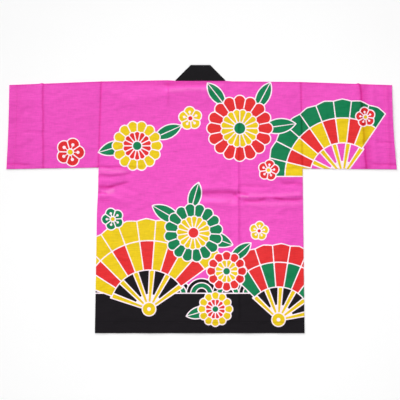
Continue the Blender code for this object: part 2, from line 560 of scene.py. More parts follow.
@dataclass(frozen=True)
class CoatPlan:
    """The coat's edges, seen from above.

    A side of the body has its X at the hem, at the armpit and at the top of the
    armhole. Each sleeve's top bumps out a little where a stored fold crosses it.
    """

    hem: float
    body_left: Triple
    body_right: Triple
    cuffs: Mapping[Side, Cuff]
    centre: float = -0.0038
    neck_line: float = 0.3780
    neck_half: float = 0.0788
    collar_width: float = 0.0505
    armpit: float = 0.1000
    shoulder_x: tuple[float, ...] = (-0.3400, -0.1070, -0.0826, 0.0750, 0.0980, 0.3300)
    shoulder_y: tuple[float, ...] = (0.3758, 0.3802, 0.3780, 0.3780, 0.3765, 0.3742)
    armhole_top: float = 0.3763
    bump_x: Mapping[Side, float] = both_sides(-0.5115, 0.5010)
    bump_rise: float = 2.2 * MM
    bump_width: float = 5.0 * MM
    skirt_spread: Mapping[Side, float] = both_sides(2.5 * MM, 0.0)
    skirt_from: float = 40 * MM
    skirt_fade: float = 90 * MM
    cuff_hollow: Mapping[Side, float] = both_sides(1.9 * MM, 3.6 * MM)

    @classmethod
    def from_frame(cls) -> CoatPlan:
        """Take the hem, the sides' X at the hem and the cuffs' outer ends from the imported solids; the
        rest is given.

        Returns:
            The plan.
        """
        low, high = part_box("back")
        cuffs = {}
        for side, top_x, top_y, under_y, armpit_y in (
            (Side.LEFT, -0.6150, 0.3648, 0.0954, 0.1005),
            (Side.RIGHT, 0.6090, 0.3644, 0.0947, 0.0975),
        ):
            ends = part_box(f"sleeve_{side.word}")
            under_x = ends[0][0] if side is Side.LEFT else ends[1][0]
            cuffs[side] = Cuff(top_x, top_y, under_x, under_y, armpit_y)
        return cls(
            hem=low[1],
            body_left=(low[0], -0.3299, -0.3210),
            body_right=(high[0], 0.3232, 0.3178),
            cuffs=cuffs,
        )

    def side(self, side: Side, y: Array | float) -> Array:
        """X of the body's side seam or armhole seam, eased out a little below the waist.

        Args:
            side: Which side.
            y: Places along Y.

        Returns:
            The seam's X there.
        """
        edge = self.body_left if side is Side.LEFT else self.body_right
        straight = np.interp(y, (self.hem, self.armpit, self.armhole_top), edge)
        spread = self.skirt_spread[side] * ease((self.skirt_from - y) / self.skirt_fade)
        return straight + side.value * spread

    def shoulder(self, x: Array | float) -> Array:
        """Y of the shoulder line over the body."""
        return np.interp(x, self.shoulder_x, self.shoulder_y)

    def sleeve_under(self, side: Side, along: Array | float) -> Array:
        """Y of the underarm seam, a share of the way from the armhole to the cuff."""
        cuff = self.cuffs[side]
        return mix(cuff.armpit_y, cuff.under_y, along)

    def sleeve_top(self, side: Side, along: Array | float) -> Array:
        """Y of the sleeve's fold, a share of the way from the armhole to the cuff.

        It stands out a little, as a bell curve, where the stored fold crosses it.

        Args:
            side: Which sleeve.
            along: The share.

        Returns:
            The fold's Y there.
        """
        start_x = float(self.side(side, self.armhole_top))
        x = mix(start_x, self.cuffs[side].top_x, along)
        edge = mix(float(self.shoulder(start_x)), self.cuffs[side].top_y, along)
        return edge + self.bump_rise * bell(x - self.bump_x[side], self.bump_width)

    def sleeve_x(self, side: Side, along: Array, y: Array) -> Array:
        """X on a sleeve, from the armhole seam to the cuff's slanted edge.

        The edge is a little hollow, as half a sine wave from the underarm to the fold.

        Args:
            side: Which sleeve.
            along: Share of the way from the armhole to the cuff.
            y: Places along Y.

        Returns:
            X of each place.
        """
        cuff = self.cuffs[side]
        under = self.sleeve_under(side, along)
        share = (y - under) / (self.sleeve_top(side, along) - under)
        hollow = self.cuff_hollow[side] * np.sin(np.pi * np.clip(share, 0.0, 1.0))
        edge = mix(cuff.under_x, cuff.top_x, share) - side.value * hollow
        return mix(self.side(side, y), edge, along)


@dataclass(frozen=True)
class Crease:
    """A pressed fold or a wrinkle from one end to the other, in millimetres.

    `reach` is how far it spreads towards +X of a line drawn downwards, or
    towards +Y of one drawn to the right, and `back` how far on the other side.
    `bow` is how far its middle bends aside, and `fade` how far it runs on past
    its ends as it dies away. `tone` is painted into the colour, in per cent,
    over the width `line`: painted shade below zero, a painted highlight above it.
    Each flank follows a power of the share of its reach that is left, and the
    crest is rounded over a tenth of it.
    """

    x0: float
    y0: float
    x1: float
    y1: float
    rise: float = 0.0
    reach: float = 8.0
    back: float = 0.0
    bow: float = 0.0
    fade: float = 26.0
    tone: float = 0.0
    line: float = 3.4
    wavers: tuple[Pair, ...] = ((17.0, 0.6), (7.3, 0.5))
    flank: float = 1.6
    crest: float = 0.1

    def place(self, x: Array, y: Array) -> tuple[Array, Array]:
        """Where points lie beside the crease.

        The line bows as half a sine wave and wavers a little, as two finer ones.

        Args:
            x: Places along X, in metres.
            y: Places along Y, in metres.

        Returns:
            Distance to the side in millimetres, and 1 on the crease's length
            fading to 0 past its ends.
        """
        run_x, run_y = self.x1 - self.x0, self.y1 - self.y0
        length = math.hypot(run_x, run_y)
        from_x, from_y = x / MM - self.x0, y / MM - self.y0
        along = (from_x * run_x + from_y * run_y) / length
        aside = (from_y * run_x - from_x * run_y) / length
        (long, wide), (short, narrow) = self.wavers
        waver = wide * np.sin(along / long + self.x0) + narrow * np.sin(along / short + self.y1)
        aside = aside - self.bow * np.sin(np.pi * np.clip(along / length, 0, 1)) - waver
        return aside, ease(1 + np.minimum(along, length - along) / self.fade)

    def height(self, x: Array, y: Array) -> Array:
        """The rise or fall at each place.

        Args:
            x: Places along X, in metres.
            y: Places along Y, in metres.

        Returns:
            Heights in metres.
        """
        aside, ends = self.place(x, y)
        reach = np.where(aside > 0, self.reach, self.back or self.reach)
        share = np.sqrt((aside / reach) ** 2 + self.crest**2) - self.crest
        return self.rise * MM * np.clip(1 - share, 0, 1) ** self.flank * ends

    def shade(self, x: Array, y: Array) -> Array:
        """The painted shade and highlight at each place as a share, a bell curve across the line."""
        aside, ends = self.place(x, y)
        return self.tone / 100 * bell(aside, self.line) * ends


# Creases in millimetres. Their rise is the cloth's relief; their shading field is painted on the colour:
# painted shade where it is below zero, a painted highlight where above. Entries with no rise carry painted
# light alone.
STORAGE_FOLDS = {
    "left sleeve fold": Crease(-512, 366, -510, 96, rise=1.9, reach=15, back=34),
    "left sleeve press": Crease(-507.5, 366, -506, 96, rise=-0.5, reach=5, tone=-24, line=3.0),
    "right sleeve fold": Crease(503, 366, 523, 92, rise=2.5, reach=20, back=30),
    "right sleeve press": Crease(508, 366, 527, 92, rise=-0.8, reach=5, tone=-27),
    "back fold": Crease(115.5, 262, 117.5, -372, rise=2.3, reach=10, back=22),
    "back press": Crease(119, 262, 121, -372, rise=-0.3, reach=4, tone=-7, line=2.8),
    "neck fold": Crease(-109, 374, -109, 308, rise=1.0, reach=12, back=20),
    "neck press": Crease(-107, 374, -107, 316, rise=-0.3, reach=5, tone=-8, line=2.8),
    "left armpit fold": Crease(-330, 104, -204, 101, rise=-1.0, reach=7, back=10, tone=-19, line=3.0),
    "left armpit painted highlight": Crease(-322, 95, -250, 87, rise=0.5, reach=7, back=7, tone=7, line=4.5),
    "right armpit fold": Crease(140, 91, 320, 99, rise=-0.6, reach=6, back=10, tone=-5),
}
WRINKLES = {
    "left side lip": Crease(-332, 84, -262, 81, rise=2.4, reach=10, back=7, bow=-2, tone=4),
    "left side groove": Crease(-330, 74, -232, 81, rise=-1.1, reach=8, back=13, fade=16, tone=-12, bow=-2),
    "left side pleat": Crease(-331, 56, -268, 54, rise=1.3, reach=9, back=8, bow=2),
    "left side fold": Crease(-330, 40, -250, 50, rise=-3.2, reach=7, back=28, bow=-5, tone=-22, line=3.0),
    "left side cleft": Crease(
        -322, 37, -282, 41, rise=-0.6, reach=6, back=8, bow=-3, fade=10, tone=-16, line=4.5
    ),
    "left side nick": Crease(-330, 21, -308, 18, rise=-1.3, reach=5, back=7, fade=9, tone=-22, line=3.2),
    "left side painted highlight": Crease(-316, 19, -284, 27, rise=0.9, reach=7, back=7, fade=9, tone=12, line=7),
    "left hip shade": Crease(-322, -2, -300, -4, fade=10, tone=-9, line=6),
    "left side knot": Crease(-318, 46, -290, 41, rise=1.1, reach=5, back=4, fade=9, tone=-9),
    "left hip swell": Crease(-334, 11, -262, 1, rise=2.6, reach=13, back=22, bow=3),
    "left side tail": Crease(-258, 42, -222, 28, rise=-1.5, reach=8, back=20),
    "right side dip": Crease(268, 49, 322, 47, rise=-2.4, reach=8, back=16, bow=2, tone=-7),
    "right side crease": Crease(236, 66, 318, 74, rise=0.9, reach=12, back=10, bow=-2),
    "middle dip": Crease(138, 43, 204, 40, rise=-2.0, reach=8, back=17, bow=-2, tone=-5),
    "waist trough": Crease(4, 10, 108, 12, rise=-4.4, reach=17, back=24, bow=2),
    "waist lip": Crease(4, 33, 104, 32, rise=1.8, reach=22, back=14, bow=2),
    "waist shade": Crease(2, 20, 104, 21, tone=-19, bow=2, line=6),
    "waist swell": Crease(6, -10, 108, -20, rise=2.2, reach=20, back=34),
    "waist crest": Crease(124, 7, 328, 13, rise=2.8, reach=15, back=15, bow=-4),
    "waist crest painted highlight": Crease(150, 14, 328, 19, bow=-4, tone=4, line=6),
    "waist lower painted highlight": Crease(160, -15, 324, -13, bow=-3, tone=3, line=8),
    "waist swell painted highlight": Crease(16, 0, 100, -8, tone=4, line=9),
    "waist groove": Crease(156, -3, 326, -1, rise=-0.8, reach=10, back=33, bow=-3),
    "waist groove start": Crease(
        140, -5, 198, -1, rise=-0.4, reach=6, back=8, bow=-3, fade=12, tone=-21, line=4.2
    ),
    "waist groove bend": Crease(
        190, 0, 252, 0, rise=-0.2, reach=6, back=8, bow=4, fade=14, tone=-14, line=3.4
    ),
    "waist groove end": Crease(
        240, 1, 326, 2, rise=-0.4, reach=6, back=8, bow=-3, fade=16, tone=-24, line=4.2
    ),
    "waist side shade": Crease(262, 56, 322, 48, fade=18, tone=-9, line=7),
    "waist shoulder": Crease(138, -20, 300, -19, rise=1.7, reach=12, back=34),
    "fold pinch": Crease(108, 24, 138, -12, rise=1.4, reach=7, back=7, fade=10),
    "fold pinch shade": Crease(119, 20, 146, 15, rise=-0.8, reach=5, back=6, fade=8, tone=-20, line=3.2),
    "fold pinch painted highlight": Crease(126, 9, 146, 7, rise=0.6, reach=5, back=6, fade=8, tone=9, line=4),
    "fold pinch drop": Crease(104, 14, 122, 2, rise=-0.8, reach=5, back=6, fade=8, tone=-15, line=3.2),
    "neck sweep": Crease(-244, 311, -114, 336, rise=1.7, reach=26, back=50, fade=30),
    "neck hollow": Crease(-208, 367, -108, 367, rise=-0.7, reach=7, back=12, tone=-7, line=6),
    "neck glance": Crease(-206, 336, -112, 342, rise=0.8, reach=26, back=30, fade=30),
    "collar drag": Crease(-104, 347, 18, 352, rise=3.4, reach=10, back=58, bow=3, fade=20, tone=6, line=7),
    "collar shade": Crease(-108, 367, 20, 368, rise=-0.5, reach=6, back=8, tone=-14, line=7),
    "collar drag end": Crease(14, 352, 62, 362, rise=1.6, reach=9, back=24, fade=18, tone=2, line=6),
    "shoulder drag": Crease(-318, 352, -252, 332, rise=1.2, reach=16, back=30),
    "left cuff fold": Crease(-556, 362, -558, 104, rise=0.9, reach=26, back=12),
    "left cuff shade": Crease(-594, 352, -596, 116, tone=-5, line=34),
    "right cuff crest": Crease(547, 362, 559, 100, rise=1.2, reach=13, back=14),
    "right sleeve painted shade": Crease(513, 362, 533, 100, tone=-13, line=18),
    "right cuff rim": Crease(594, 360, 603, 100, rise=1.1, reach=8, back=17, tone=-6),
    "right cuff shade": Crease(596, 352, 606, 116, tone=-4, line=34),
    "left cuff tuck": Crease(-622, 111, -556, 110, rise=-1.5, reach=7, back=5, fade=12, tone=-17),
    "right cuff tuck": Crease(556, 111, 624, 110, rise=-1.5, reach=7, back=5, fade=12, tone=-19),
    "left sleeve painted shade": Crease(-556, 215, -513, 214, rise=-0.9, reach=6, back=13, tone=-3),
    "left sleeve wave": Crease(-610, 262, -530, 256, rise=0.8, reach=14, back=18, bow=4),
    "right cuff pinch": Crease(566, 181, 622, 179, rise=-1.4, reach=5, back=9, fade=10, tone=-6),
    "left hip ripple": Crease(-330, -58, -236, -50, rise=0.9, reach=14, back=20, bow=3),
    "right hip ripple": Crease(226, -60, 324, -66, rise=0.9, reach=12, back=22, bow=-3),
    "left hem ripple": Crease(-326, -262, -258, -250, rise=0.8, reach=13),
    "right hem ripple": Crease(214, -326, 322, -312, rise=0.8, reach=14, bow=3),
    "left arm drag": Crease(-322, 138, -262, 168, rise=1.1, reach=12, bow=-3),
    "right arm drag": Crease(258, 172, 316, 138, rise=1.1, reach=12, bow=3),
    "middle drag": Crease(26, 86, 92, 52, rise=1.2, reach=16, back=20, bow=4),
    "middle draw": Crease(20, 62, 84, 36, rise=0.8, reach=10, back=16, bow=3),
    "side draw": Crease(150, 88, 300, 82, rise=0.9, reach=12, back=16, bow=-3),
}
UNDER_WRINKLES = {
    "left front drag": Crease(-318, 60, -196, 84, rise=1.4, reach=10, bow=5),
    "left front waist": Crease(-300, -14, -160, -2, rise=1.2, reach=9, bow=-6),
    "left front hip": Crease(-326, -120, -232, -96, rise=0.8, reach=10, bow=4),
    "right front drag": Crease(200, 78, 316, 66, rise=1.5, reach=10, bow=-4),
    "right front waist": Crease(150, 12, 318, -10, rise=1.2, reach=9, bow=5),
    "right front hip": Crease(220, -170, 324, -148, rise=0.8, reach=11, bow=-4),
    "left under sleeve": Crease(-560, 150, -400, 168, rise=1.0, reach=9, bow=5),
    "right under sleeve": Crease(404, 160, 560, 148, rise=1.0, reach=9, bow=-5),
}


UPPER_CREASES = (*STORAGE_FOLDS.values(), *WRINKLES.values())
UNDER_CREASES = (*STORAGE_FOLDS.values(), *UNDER_WRINKLES.values())


def seam_shade(distance: Array, shade: Pair) -> Array:
    """The painted shade beside a seam, a bell curve of the given strength and width."""
    return shade[0] * bell(distance, shade[1])


@dataclass(frozen=True)
class Drape:
    """Height of the coat's visible faces over the ground.

    The upper layer lies on the lower one. It stands a little clear in the
    middle of each panel, carries the folds it was stored in, and is held down
    at its seams.
    """

    plan: CoatPlan
    loft: float = 2.2 * MM
    loft_edge: float = 60 * MM
    clearance: float = 0.9 * MM
    edge_hold: float = 7 * MM  # creases die out over this, beside an edge
    band_edge: float = 5 * MM  # the back starts to rise over the band here, outside it
    band_slope: float = 15 * MM
    hem_turn: float = 36 * MM
    cuff_turn: float = 24 * MM
    turn_step: float = 0.30 * MM
    turn_slope: float = 1.5 * MM
    pucker_depth: float = 0.12 * MM
    hem_pucker: Pair = (9 * MM, 14 * MM)  # reach and length of its gathers
    cuff_pucker: Pair = (8 * MM, 13 * MM)
    pucker_bends: Pair = (2.0, 1.5)  # radians by which slower waves bend them
    pucker_turns: Pair = (1.3, 0.9)  # radians that those turn in a gather's length
    allowance: float = 11 * MM
    allowance_rise: float = 0.35 * MM
    allowance_slope: float = 3 * MM
    seam_start: float = 6 * MM  # the armhole and neck seams set in over this
    seam_dip: float = 0.7 * MM
    under_dip: float = 0.5 * MM
    seam_width: float = 1.8 * MM
    neck_dip: float = 0.4 * MM
    neck_dip_width: float = 2 * MM
    calm_panel: float = 25 * MM  # ripples grow to their full size over this, beside an edge
    calm_sleeve: float = 20 * MM
    calm_share: float = 0.25  # the share of them that is left along an edge
    under_hold: float = 20 * MM  # dents in the lower layer grow to their full size over this
    under_hem_hold: float = 30 * MM
    under_seam_hold: float = 15 * MM
    groove_clear: float = 4 * MM  # a sleeve's seam groove stops this far short of its folds
    dent_share: float = 0.4
    dent_floor: float = 0.1 * MM
    dent_limit: float = 0.8 * LAYER
    armhole_shade: Pair = (-0.22, 3.0 * MM)  # strength and width of each seam's painted shade
    fold_shade: Pair = (-0.20, 4.5 * MM)
    hem_shade: Pair = (-0.10, 2.6 * MM)
    cuff_shade: Pair = (-0.05, 2.6 * MM)
    ripples: tuple[Triple, ...] = (  # length in mm, angle in degrees, size in mm
        (148.0, 12.0, 0.42),
        (96.0, 74.0, 0.34),
        (71.0, 131.0, 0.24),
        (52.0, 82.0, 0.20),
        (37.0, 104.0, 0.13),
        (25.0, 76.0, 0.07),
    )
    ripple_bend: float = 1.7

    def ripple(self, x: Array, y: Array) -> Array:
        """Soft unevenness: a sum of sine waves, each bent by the one before it.

        Args:
            x: Places along X.
            y: Places along Y.

        Returns:
            Heights in metres, about zero.
        """
        total = np.zeros_like(x)
        bend = np.zeros_like(x)
        for length, angle, size in self.ripples:
            turn = math.radians(angle)
            phase = (x * math.cos(turn) + y * math.sin(turn)) / (length * MM) * 2 * np.pi
            wave = np.sin(phase + self.ripple_bend * bend + angle)
            total += size * MM * wave
            bend = wave
        return total

    def free(self, from_edge: Array) -> Array:
        """1 on a panel, easing to 0 along an edge that is folded or sewn."""
        return ease((from_edge - FOLD / 2) / self.edge_hold)

    def creased(self, x: Array, y: Array, loft: Array, free: Array) -> Array:
        """The loft with every crease on it.

        Where it would sink into the lower layer it nears the clearance instead,
        as one less the exponential of the depth.

        Args:
            x: Places along X.
            y: Places along Y.
            loft: Height of the smooth panel over its seams.
            free: 1 where the cloth is free to crease, 0 where it is held.

        Returns:
            Heights in metres.
        """
        for crease in UPPER_CREASES:
            loft = loft + free * crease.height(x, y)
        sunk = self.clearance * (np.exp(np.minimum(loft, 0.0) / self.clearance) - 1)
        return np.where(loft < 0, sunk, loft)

    def body_edges(self, x: Array, y: Array) -> tuple[Array, Array, Array]:
        """How far places on the body lie in from its nearer side, its shoulder line and its hem.

        Args:
            x: Places along X.
            y: Places along Y.

        Returns:
            The three distances, none below zero.
        """
        plan = self.plan
        from_side = np.minimum(x - plan.side(Side.LEFT, y), plan.side(Side.RIGHT, y) - x)
        from_top = plan.shoulder(x) - y
        return tuple(np.maximum(edge, 0.0) for edge in (from_side, from_top, y - plan.hem))

    def sleeve_edges(self, side: Side, x: Array, y: Array, along: Array) -> tuple[Array, ...]:
        """How far places on a sleeve lie in from its underarm fold, top fold, armhole and cuff.

        Args:
            side: Which sleeve.
            x: Places along X.
            y: Places along Y.
            along: Share of the way from the armhole to the cuff.

        Returns:
            The four distances, none below zero.
        """
        plan = self.plan
        from_under = np.maximum(y - plan.sleeve_under(side, along) - FOLD, 0.0)
        from_top = np.maximum(plan.sleeve_top(side, along) - FOLD - y, 0.0)
        from_armhole = np.abs(x - plan.side(side, y))
        return from_under, from_top, from_armhole, np.abs(plan.sleeve_x(side, np.ones_like(along), y) - x)

    def tone(self, x: Array, y: Array) -> Array:
        """Painted shade and painted highlight along the creases.

        Args:
            x: Places along X.
            y: Places along Y.

        Returns:
            Shares of brightness.
        """
        return sum((crease.shade(x, y) for crease in UPPER_CREASES if crease.tone), np.zeros_like(x))

    def body_painted_shading(self, x: Array, y: Array) -> Array:
        """Painted shade and highlight on the body, with painted shade along the armholes, the hem row and
        the neck.

        Args:
            x: Places along X.
            y: Places along Y.

        Returns:
            Shares of brightness.
        """
        from_side, from_top, from_hem = self.body_edges(x, y)
        armhole = ease((y - self.plan.armpit) / self.seam_start)
        seams = armhole * seam_shade(from_side, self.armhole_shade)
        seams += seam_shade(from_top, self.fold_shade)
        seams += seam_shade(from_hem - self.hem_turn, self.hem_shade)
        return self.tone(x, y) + seams

    def sleeve_tone(self, side: Side, x: Array, y: Array) -> Array:
        """Painted shade and highlight on a sleeve, with painted shade along the armhole, the top fold and
        the cuff's row.

        Args:
            side: Which sleeve.
            x: Places along X.
            y: Places along Y.

        Returns:
            Shares of brightness.
        """
        plan = self.plan
        start = plan.side(side, y)
        along = np.clip((x - start) / (plan.cuffs[side].under_x - start), 0.0, 1.0)
        seams = seam_shade(x - start, self.armhole_shade)
        seams += seam_shade(plan.sleeve_top(side, along) - y, self.fold_shade)
        from_cuff = side.value * (plan.sleeve_x(side, np.ones_like(y), y) - x)
        seams += seam_shade(from_cuff - self.cuff_turn, self.cuff_shade)
        return self.tone(x, y) + seams

    def turned_edge(
        self, inward: Array, turn: float, pucker: Pair, x: Array, y: Array
    ) -> tuple[Array, Array]:
        """A turned-up edge: its step in height, and the gathers beside its row of stitches.

        The gathers are two crossed sine waves, each bent by a slower one.

        Args:
            inward: Distance in from the edge.
            turn: Width of the turn-up.
            pucker: How far the gathers reach from the row, and their length.
            x: Places along the edge.
            y: Places across it.

        Returns:
            The step and the gathers.
        """
        reach, length = pucker
        (bend, cross_bend), (turns, cross_turns) = self.pucker_bends, self.pucker_turns
        step = self.turn_step * (1 - ease((inward - turn) / self.turn_slope))
        wave = np.sin(x / length * 2 * np.pi + bend * np.sin(y / length * turns))
        wave = wave * np.cos(y / length * 2 * np.pi + cross_bend * np.sin(x / length * cross_turns))
        return step, self.pucker_depth * bell(inward - turn, reach) * wave

    def body(self, x: Array, y: Array) -> Array:
        """Height of the back panel's upper face.

        Args:
            x: Places along X.
            y: Places along Y.

        Returns:
            Heights in metres.
        """
        plan = self.plan
        from_side, from_top, from_hem = self.body_edges(x, y)
        from_band = np.abs(x - plan.centre) - plan.neck_half
        loft = self.loft * well_in(self.loft_edge, from_side, from_top, from_hem)
        over_band = ease(1 - (from_band - self.band_edge) / self.band_slope)
        free = self.free(np.minimum(from_side, from_top))
        height = 2 * LAYER + GAP + (BAND - LAYER) * over_band + self.creased(x, y, loft, free)
        calm = well_in(self.calm_panel, from_side, from_top)
        height += self.ripple(x, y) * free * mix(self.calm_share, 1.0, calm)
        height += sum(self.turned_edge(from_hem, self.hem_turn, self.hem_pucker, x, y))
        armhole = ease((y - plan.armpit) / self.seam_start)
        allowance = 1 - ease((from_side - self.allowance) / self.allowance_slope)
        groove = self.seam_dip * bell(from_side, self.seam_width)
        height += armhole * (self.allowance_rise * allowance - groove)
        neck = 1 - ease(from_band / self.seam_start)
        drop = (1 - armhole) * edge_drop(from_side, FOLD)
        drop += (1 - neck) * edge_drop(from_top, FOLD)
        drop += neck * self.neck_dip * bell(from_top, self.neck_dip_width)
        return height - np.minimum(drop, FOLD) - edge_drop(from_hem, CLOTH)

    def dents(self, x: Array, y: Array) -> Array:
        """Depth of the dents in the lower layer, which otherwise lies flat on the ground.

        The folds that the coat was stored in go through both layers.

        Args:
            x: Places along X.
            y: Places along Y.

        Returns:
            Depths in metres.
        """
        depth = np.maximum(self.ripple(y, x) - self.dent_floor, 0.0)
        for crease in UNDER_CREASES:
            depth = depth + self.dent_share * np.abs(crease.height(x, y))
        return np.minimum(depth, self.dent_limit)

    def front(self, side: Side, x: Array, y: Array) -> Array:
        """Height of a front's lower face, which curls up to meet the back.

        Args:
            side: Which front.
            x: Places along X.
            y: Places along Y.

        Returns:
            Heights in metres.
        """
        plan = self.plan
        from_side, from_top, from_hem = self.body_edges(x, y)
        from_band = side.value * (x - plan.centre) - plan.neck_half
        inside = well_in(self.under_hold, from_band, from_side - FOLD, from_top - FOLD)
        inside = inside * ease(from_hem / self.under_hem_hold)
        armhole = ease((y - plan.armpit) / self.seam_start)
        curl = (1 - armhole) * edge_drop(from_side, FOLD) + edge_drop(from_top, FOLD)
        curl = np.minimum(curl, FOLD) + edge_drop(from_hem, CLOTH)
        groove = armhole * self.under_dip * bell(from_side, self.seam_width)
        return curl + groove + self.dents(x, y) * inside

    def sleeve(self, side: Side, x: Array, y: Array, along: Array) -> Array:
        """Height of a sleeve's upper layer.

        Args:
            side: Which sleeve.
            x: Places along X.
            y: Places along Y.
            along: Share of the way from the armhole to the cuff.

        Returns:
            Heights in metres.
        """
        from_under, from_top, from_armhole, from_cuff = self.sleeve_edges(side, x, y, along)
        loft = self.loft * well_in(self.loft_edge, from_under, from_top, from_armhole)
        free = self.free(np.minimum(np.minimum(from_under, from_top), from_armhole))
        calm = well_in(self.calm_sleeve, from_under, from_top)
        rippled = mix(self.calm_share, 1.0, ease(from_armhole / self.calm_panel))
        edge = sum(self.turned_edge(from_cuff, self.cuff_turn, self.cuff_pucker, y, x))
        edge = edge - self.seam_dip * bell(from_armhole, self.seam_width)
        height = 2 * LAYER + GAP + self.creased(x, y, loft, free)
        return height + calm * (self.ripple(x, y) * free * rippled + edge)

    def sleeve_under_face(self, side: Side, x: Array, y: Array, along: Array) -> Array:
        """Height of a sleeve's lower layer, which lies on the ground.

        Args:
            side: Which sleeve.
            x: Places along X.
            y: Places along Y.
            along: Share of the way from the armhole to the cuff.

        Returns:
            Heights in metres.
        """
        from_under, from_top, from_armhole, from_cuff = self.sleeve_edges(side, x, y, along)
        inside = well_in(self.under_hold, from_under, from_top, from_cuff)
        inside = inside * ease(from_armhole / self.under_seam_hold)
        groove = self.under_dip * bell(from_armhole, self.seam_width)
        groove = groove * well_in(self.groove_clear, from_under, from_top)
        return self.dents(x, y) * inside + groove


# ---- The print ----


FAR = 60.0  # a distance well outside every screen, in millimetres
SPLIT = 100000.0  # a distance so great that a change of its sign between two points draws no line
CELL = 6.0  # diagonal of the cloth's widest grid cell, in millimetres
NO_SPOT = (FAR, FAR, 0.0)  # the way to a dot's centre where no dot is near


class Level(Enum):
    """On which sides of the three outline fields a region lies; regions that touch differ in one."""

    CLOTH = (-1, -1, -1)
    PAPER = (1, -1, -1)
    LEAF = (-1, 1, -1)
    FLOWER = (1, 1, -1)
    FIRST_SCALE = (1, -1, 1)
    SECOND_SCALE = (-1, 1, 1)
    THIRD_SCALE = (1, 1, 1)


class Screens:
    """The print at each point of the cloth, as distances in millimetres.

    Each ink has a field that is below zero where the ink lies. The bare lines
    run where an outline field or the rib field passes zero: these change sign
    at a line, so the line stays even and unbroken however coarse the grid is.
    The bare dots lie where the way from a dot's centre is short, and are kept
    as that way's two parts, which stay straight between points, so dots are round.
    """

    OVERLAP = 1.4  # millimetres by which ribs run past a region's bare outline, to meet it

    def __init__(self, shape: tuple[int, ...]) -> None:
        """Start with the ground ink over the whole cloth.

        Args:
            shape: Shape of the cloth's grid of points.
        """
        self.depth = {ink: np.full(shape, FAR) for ink in Ink}
        self.depth[Ink.GROUND][:] = -FAR
        self.outlines = [np.full(shape, -FAR) for _ in Level.CLOTH.value]
        self.ribs = np.full(shape, SPLIT)
        self.spot = np.tile(NO_SPOT, (*shape, 1))
        self.border = np.full(shape, -FAR)

    def stamp(self, outline: Array, level: Level) -> None:
        """Clear a region of all inks, ribs and dots, with a bare line round it.

        An outline field joins the region to its positive or its negative side,
        whichever the level says, as a union of two distance fields.

        Args:
            outline: Distance to the region's outline, below zero inside.
            level: The region's level.
        """
        self.border = outline - LINE / 2
        for ink in Ink:
            self.depth[ink] = np.maximum(self.depth[ink], -self.border)
        self.outlines = [
            sign * np.maximum(-self.border, sign * old) for sign, old in zip(level.value, self.outlines)
        ]
        self.ribs = np.where(self.border < -LINE / 2, SPLIT, self.ribs)
        self.spot[self.border < 0] = NO_SPOT

    def lay(self, ink: Ink, part: Array | float = -FAR) -> None:
        """Lay an ink on the last stamped region, or on the part where the given distance is below zero."""
        self.depth[ink] = np.minimum(self.depth[ink], np.maximum(part, self.border))

    def rule(self, ribs: Array) -> None:
        """Draw ribs on the last stamped region, where a signed distance passes zero.

        They run a little past its bare outline where no older rib is near.

        Args:
            ribs: The signed distance.
        """
        steep = np.where(np.abs(ribs) > CELL + LINE / 2, np.copysign(SPLIT, ribs), ribs)
        reach = np.where(np.abs(self.ribs) >= SPLIT, self.OVERLAP, 0.0)
        self.ribs = np.where(self.border < reach, steep, self.ribs)

    def prick(self, forward: Array, aside: Array, radius: float) -> None:
        """Leave a round dot bare on the last stamped region.

        Args:
            forward: Way from the nearest dot's centre, along one axis.
            aside: The same along the other axis.
            radius: The dot's radius.
        """
        scale = np.where(np.hypot(forward, aside) > radius + CELL, SPLIT, DOT) / radius
        within = self.border < 0
        self.spot[within, 0] = (forward * scale)[within]
        self.spot[within, 1] = (aside * scale)[within]

    def fields(self) -> dict[str, Array]:
        """Every field by the name of its point attribute."""
        inks = {ink.screen: np.clip(self.depth[ink], -FAR, FAR) for ink in Ink}
        return inks | dict(zip(LINE_FIELDS, (*self.outlines, self.ribs))) | {"spot": self.spot}


def polar(x: Array, y: Array, centre: Pair, turn: float) -> tuple[Array, Array]:
    """Distance and angle about a centre, the angle counted from a turned axis.

    Args:
        x: Places along X.
        y: Places along Y.
        centre: The centre.
        turn: Direction of the axis in degrees, counted from +X.

    Returns:
        The distance, and the angle from minus pi to pi.
    """
    from_x = x - centre[0]
    from_y = y - centre[1]
    angle = np.arctan2(from_y, from_x) - math.radians(turn)
    return np.hypot(from_x, from_y), (angle + np.pi) % (2 * np.pi) - np.pi


def repeat(angle: Array, step: float) -> Array:
    """Fold an angle into sectors of one step, counted from each sector's middle."""
    return (angle + step / 2) % step - step / 2


def spokes(reach: Array, angle: Array, count: int) -> Array:
    """Distance to the nearest of the spokes that part equal sectors, its sign turned at each spoke.

    Args:
        reach: Distance from the centre.
        angle: Angle about the centre, zero in the middle of a sector.
        count: How many sectors there are, an even number.

    Returns:
        The signed distance.
    """
    step = 2 * np.pi / count
    return alternate(np.round(angle / step)) * (step / 2 - np.abs(repeat(angle, step))) * reach


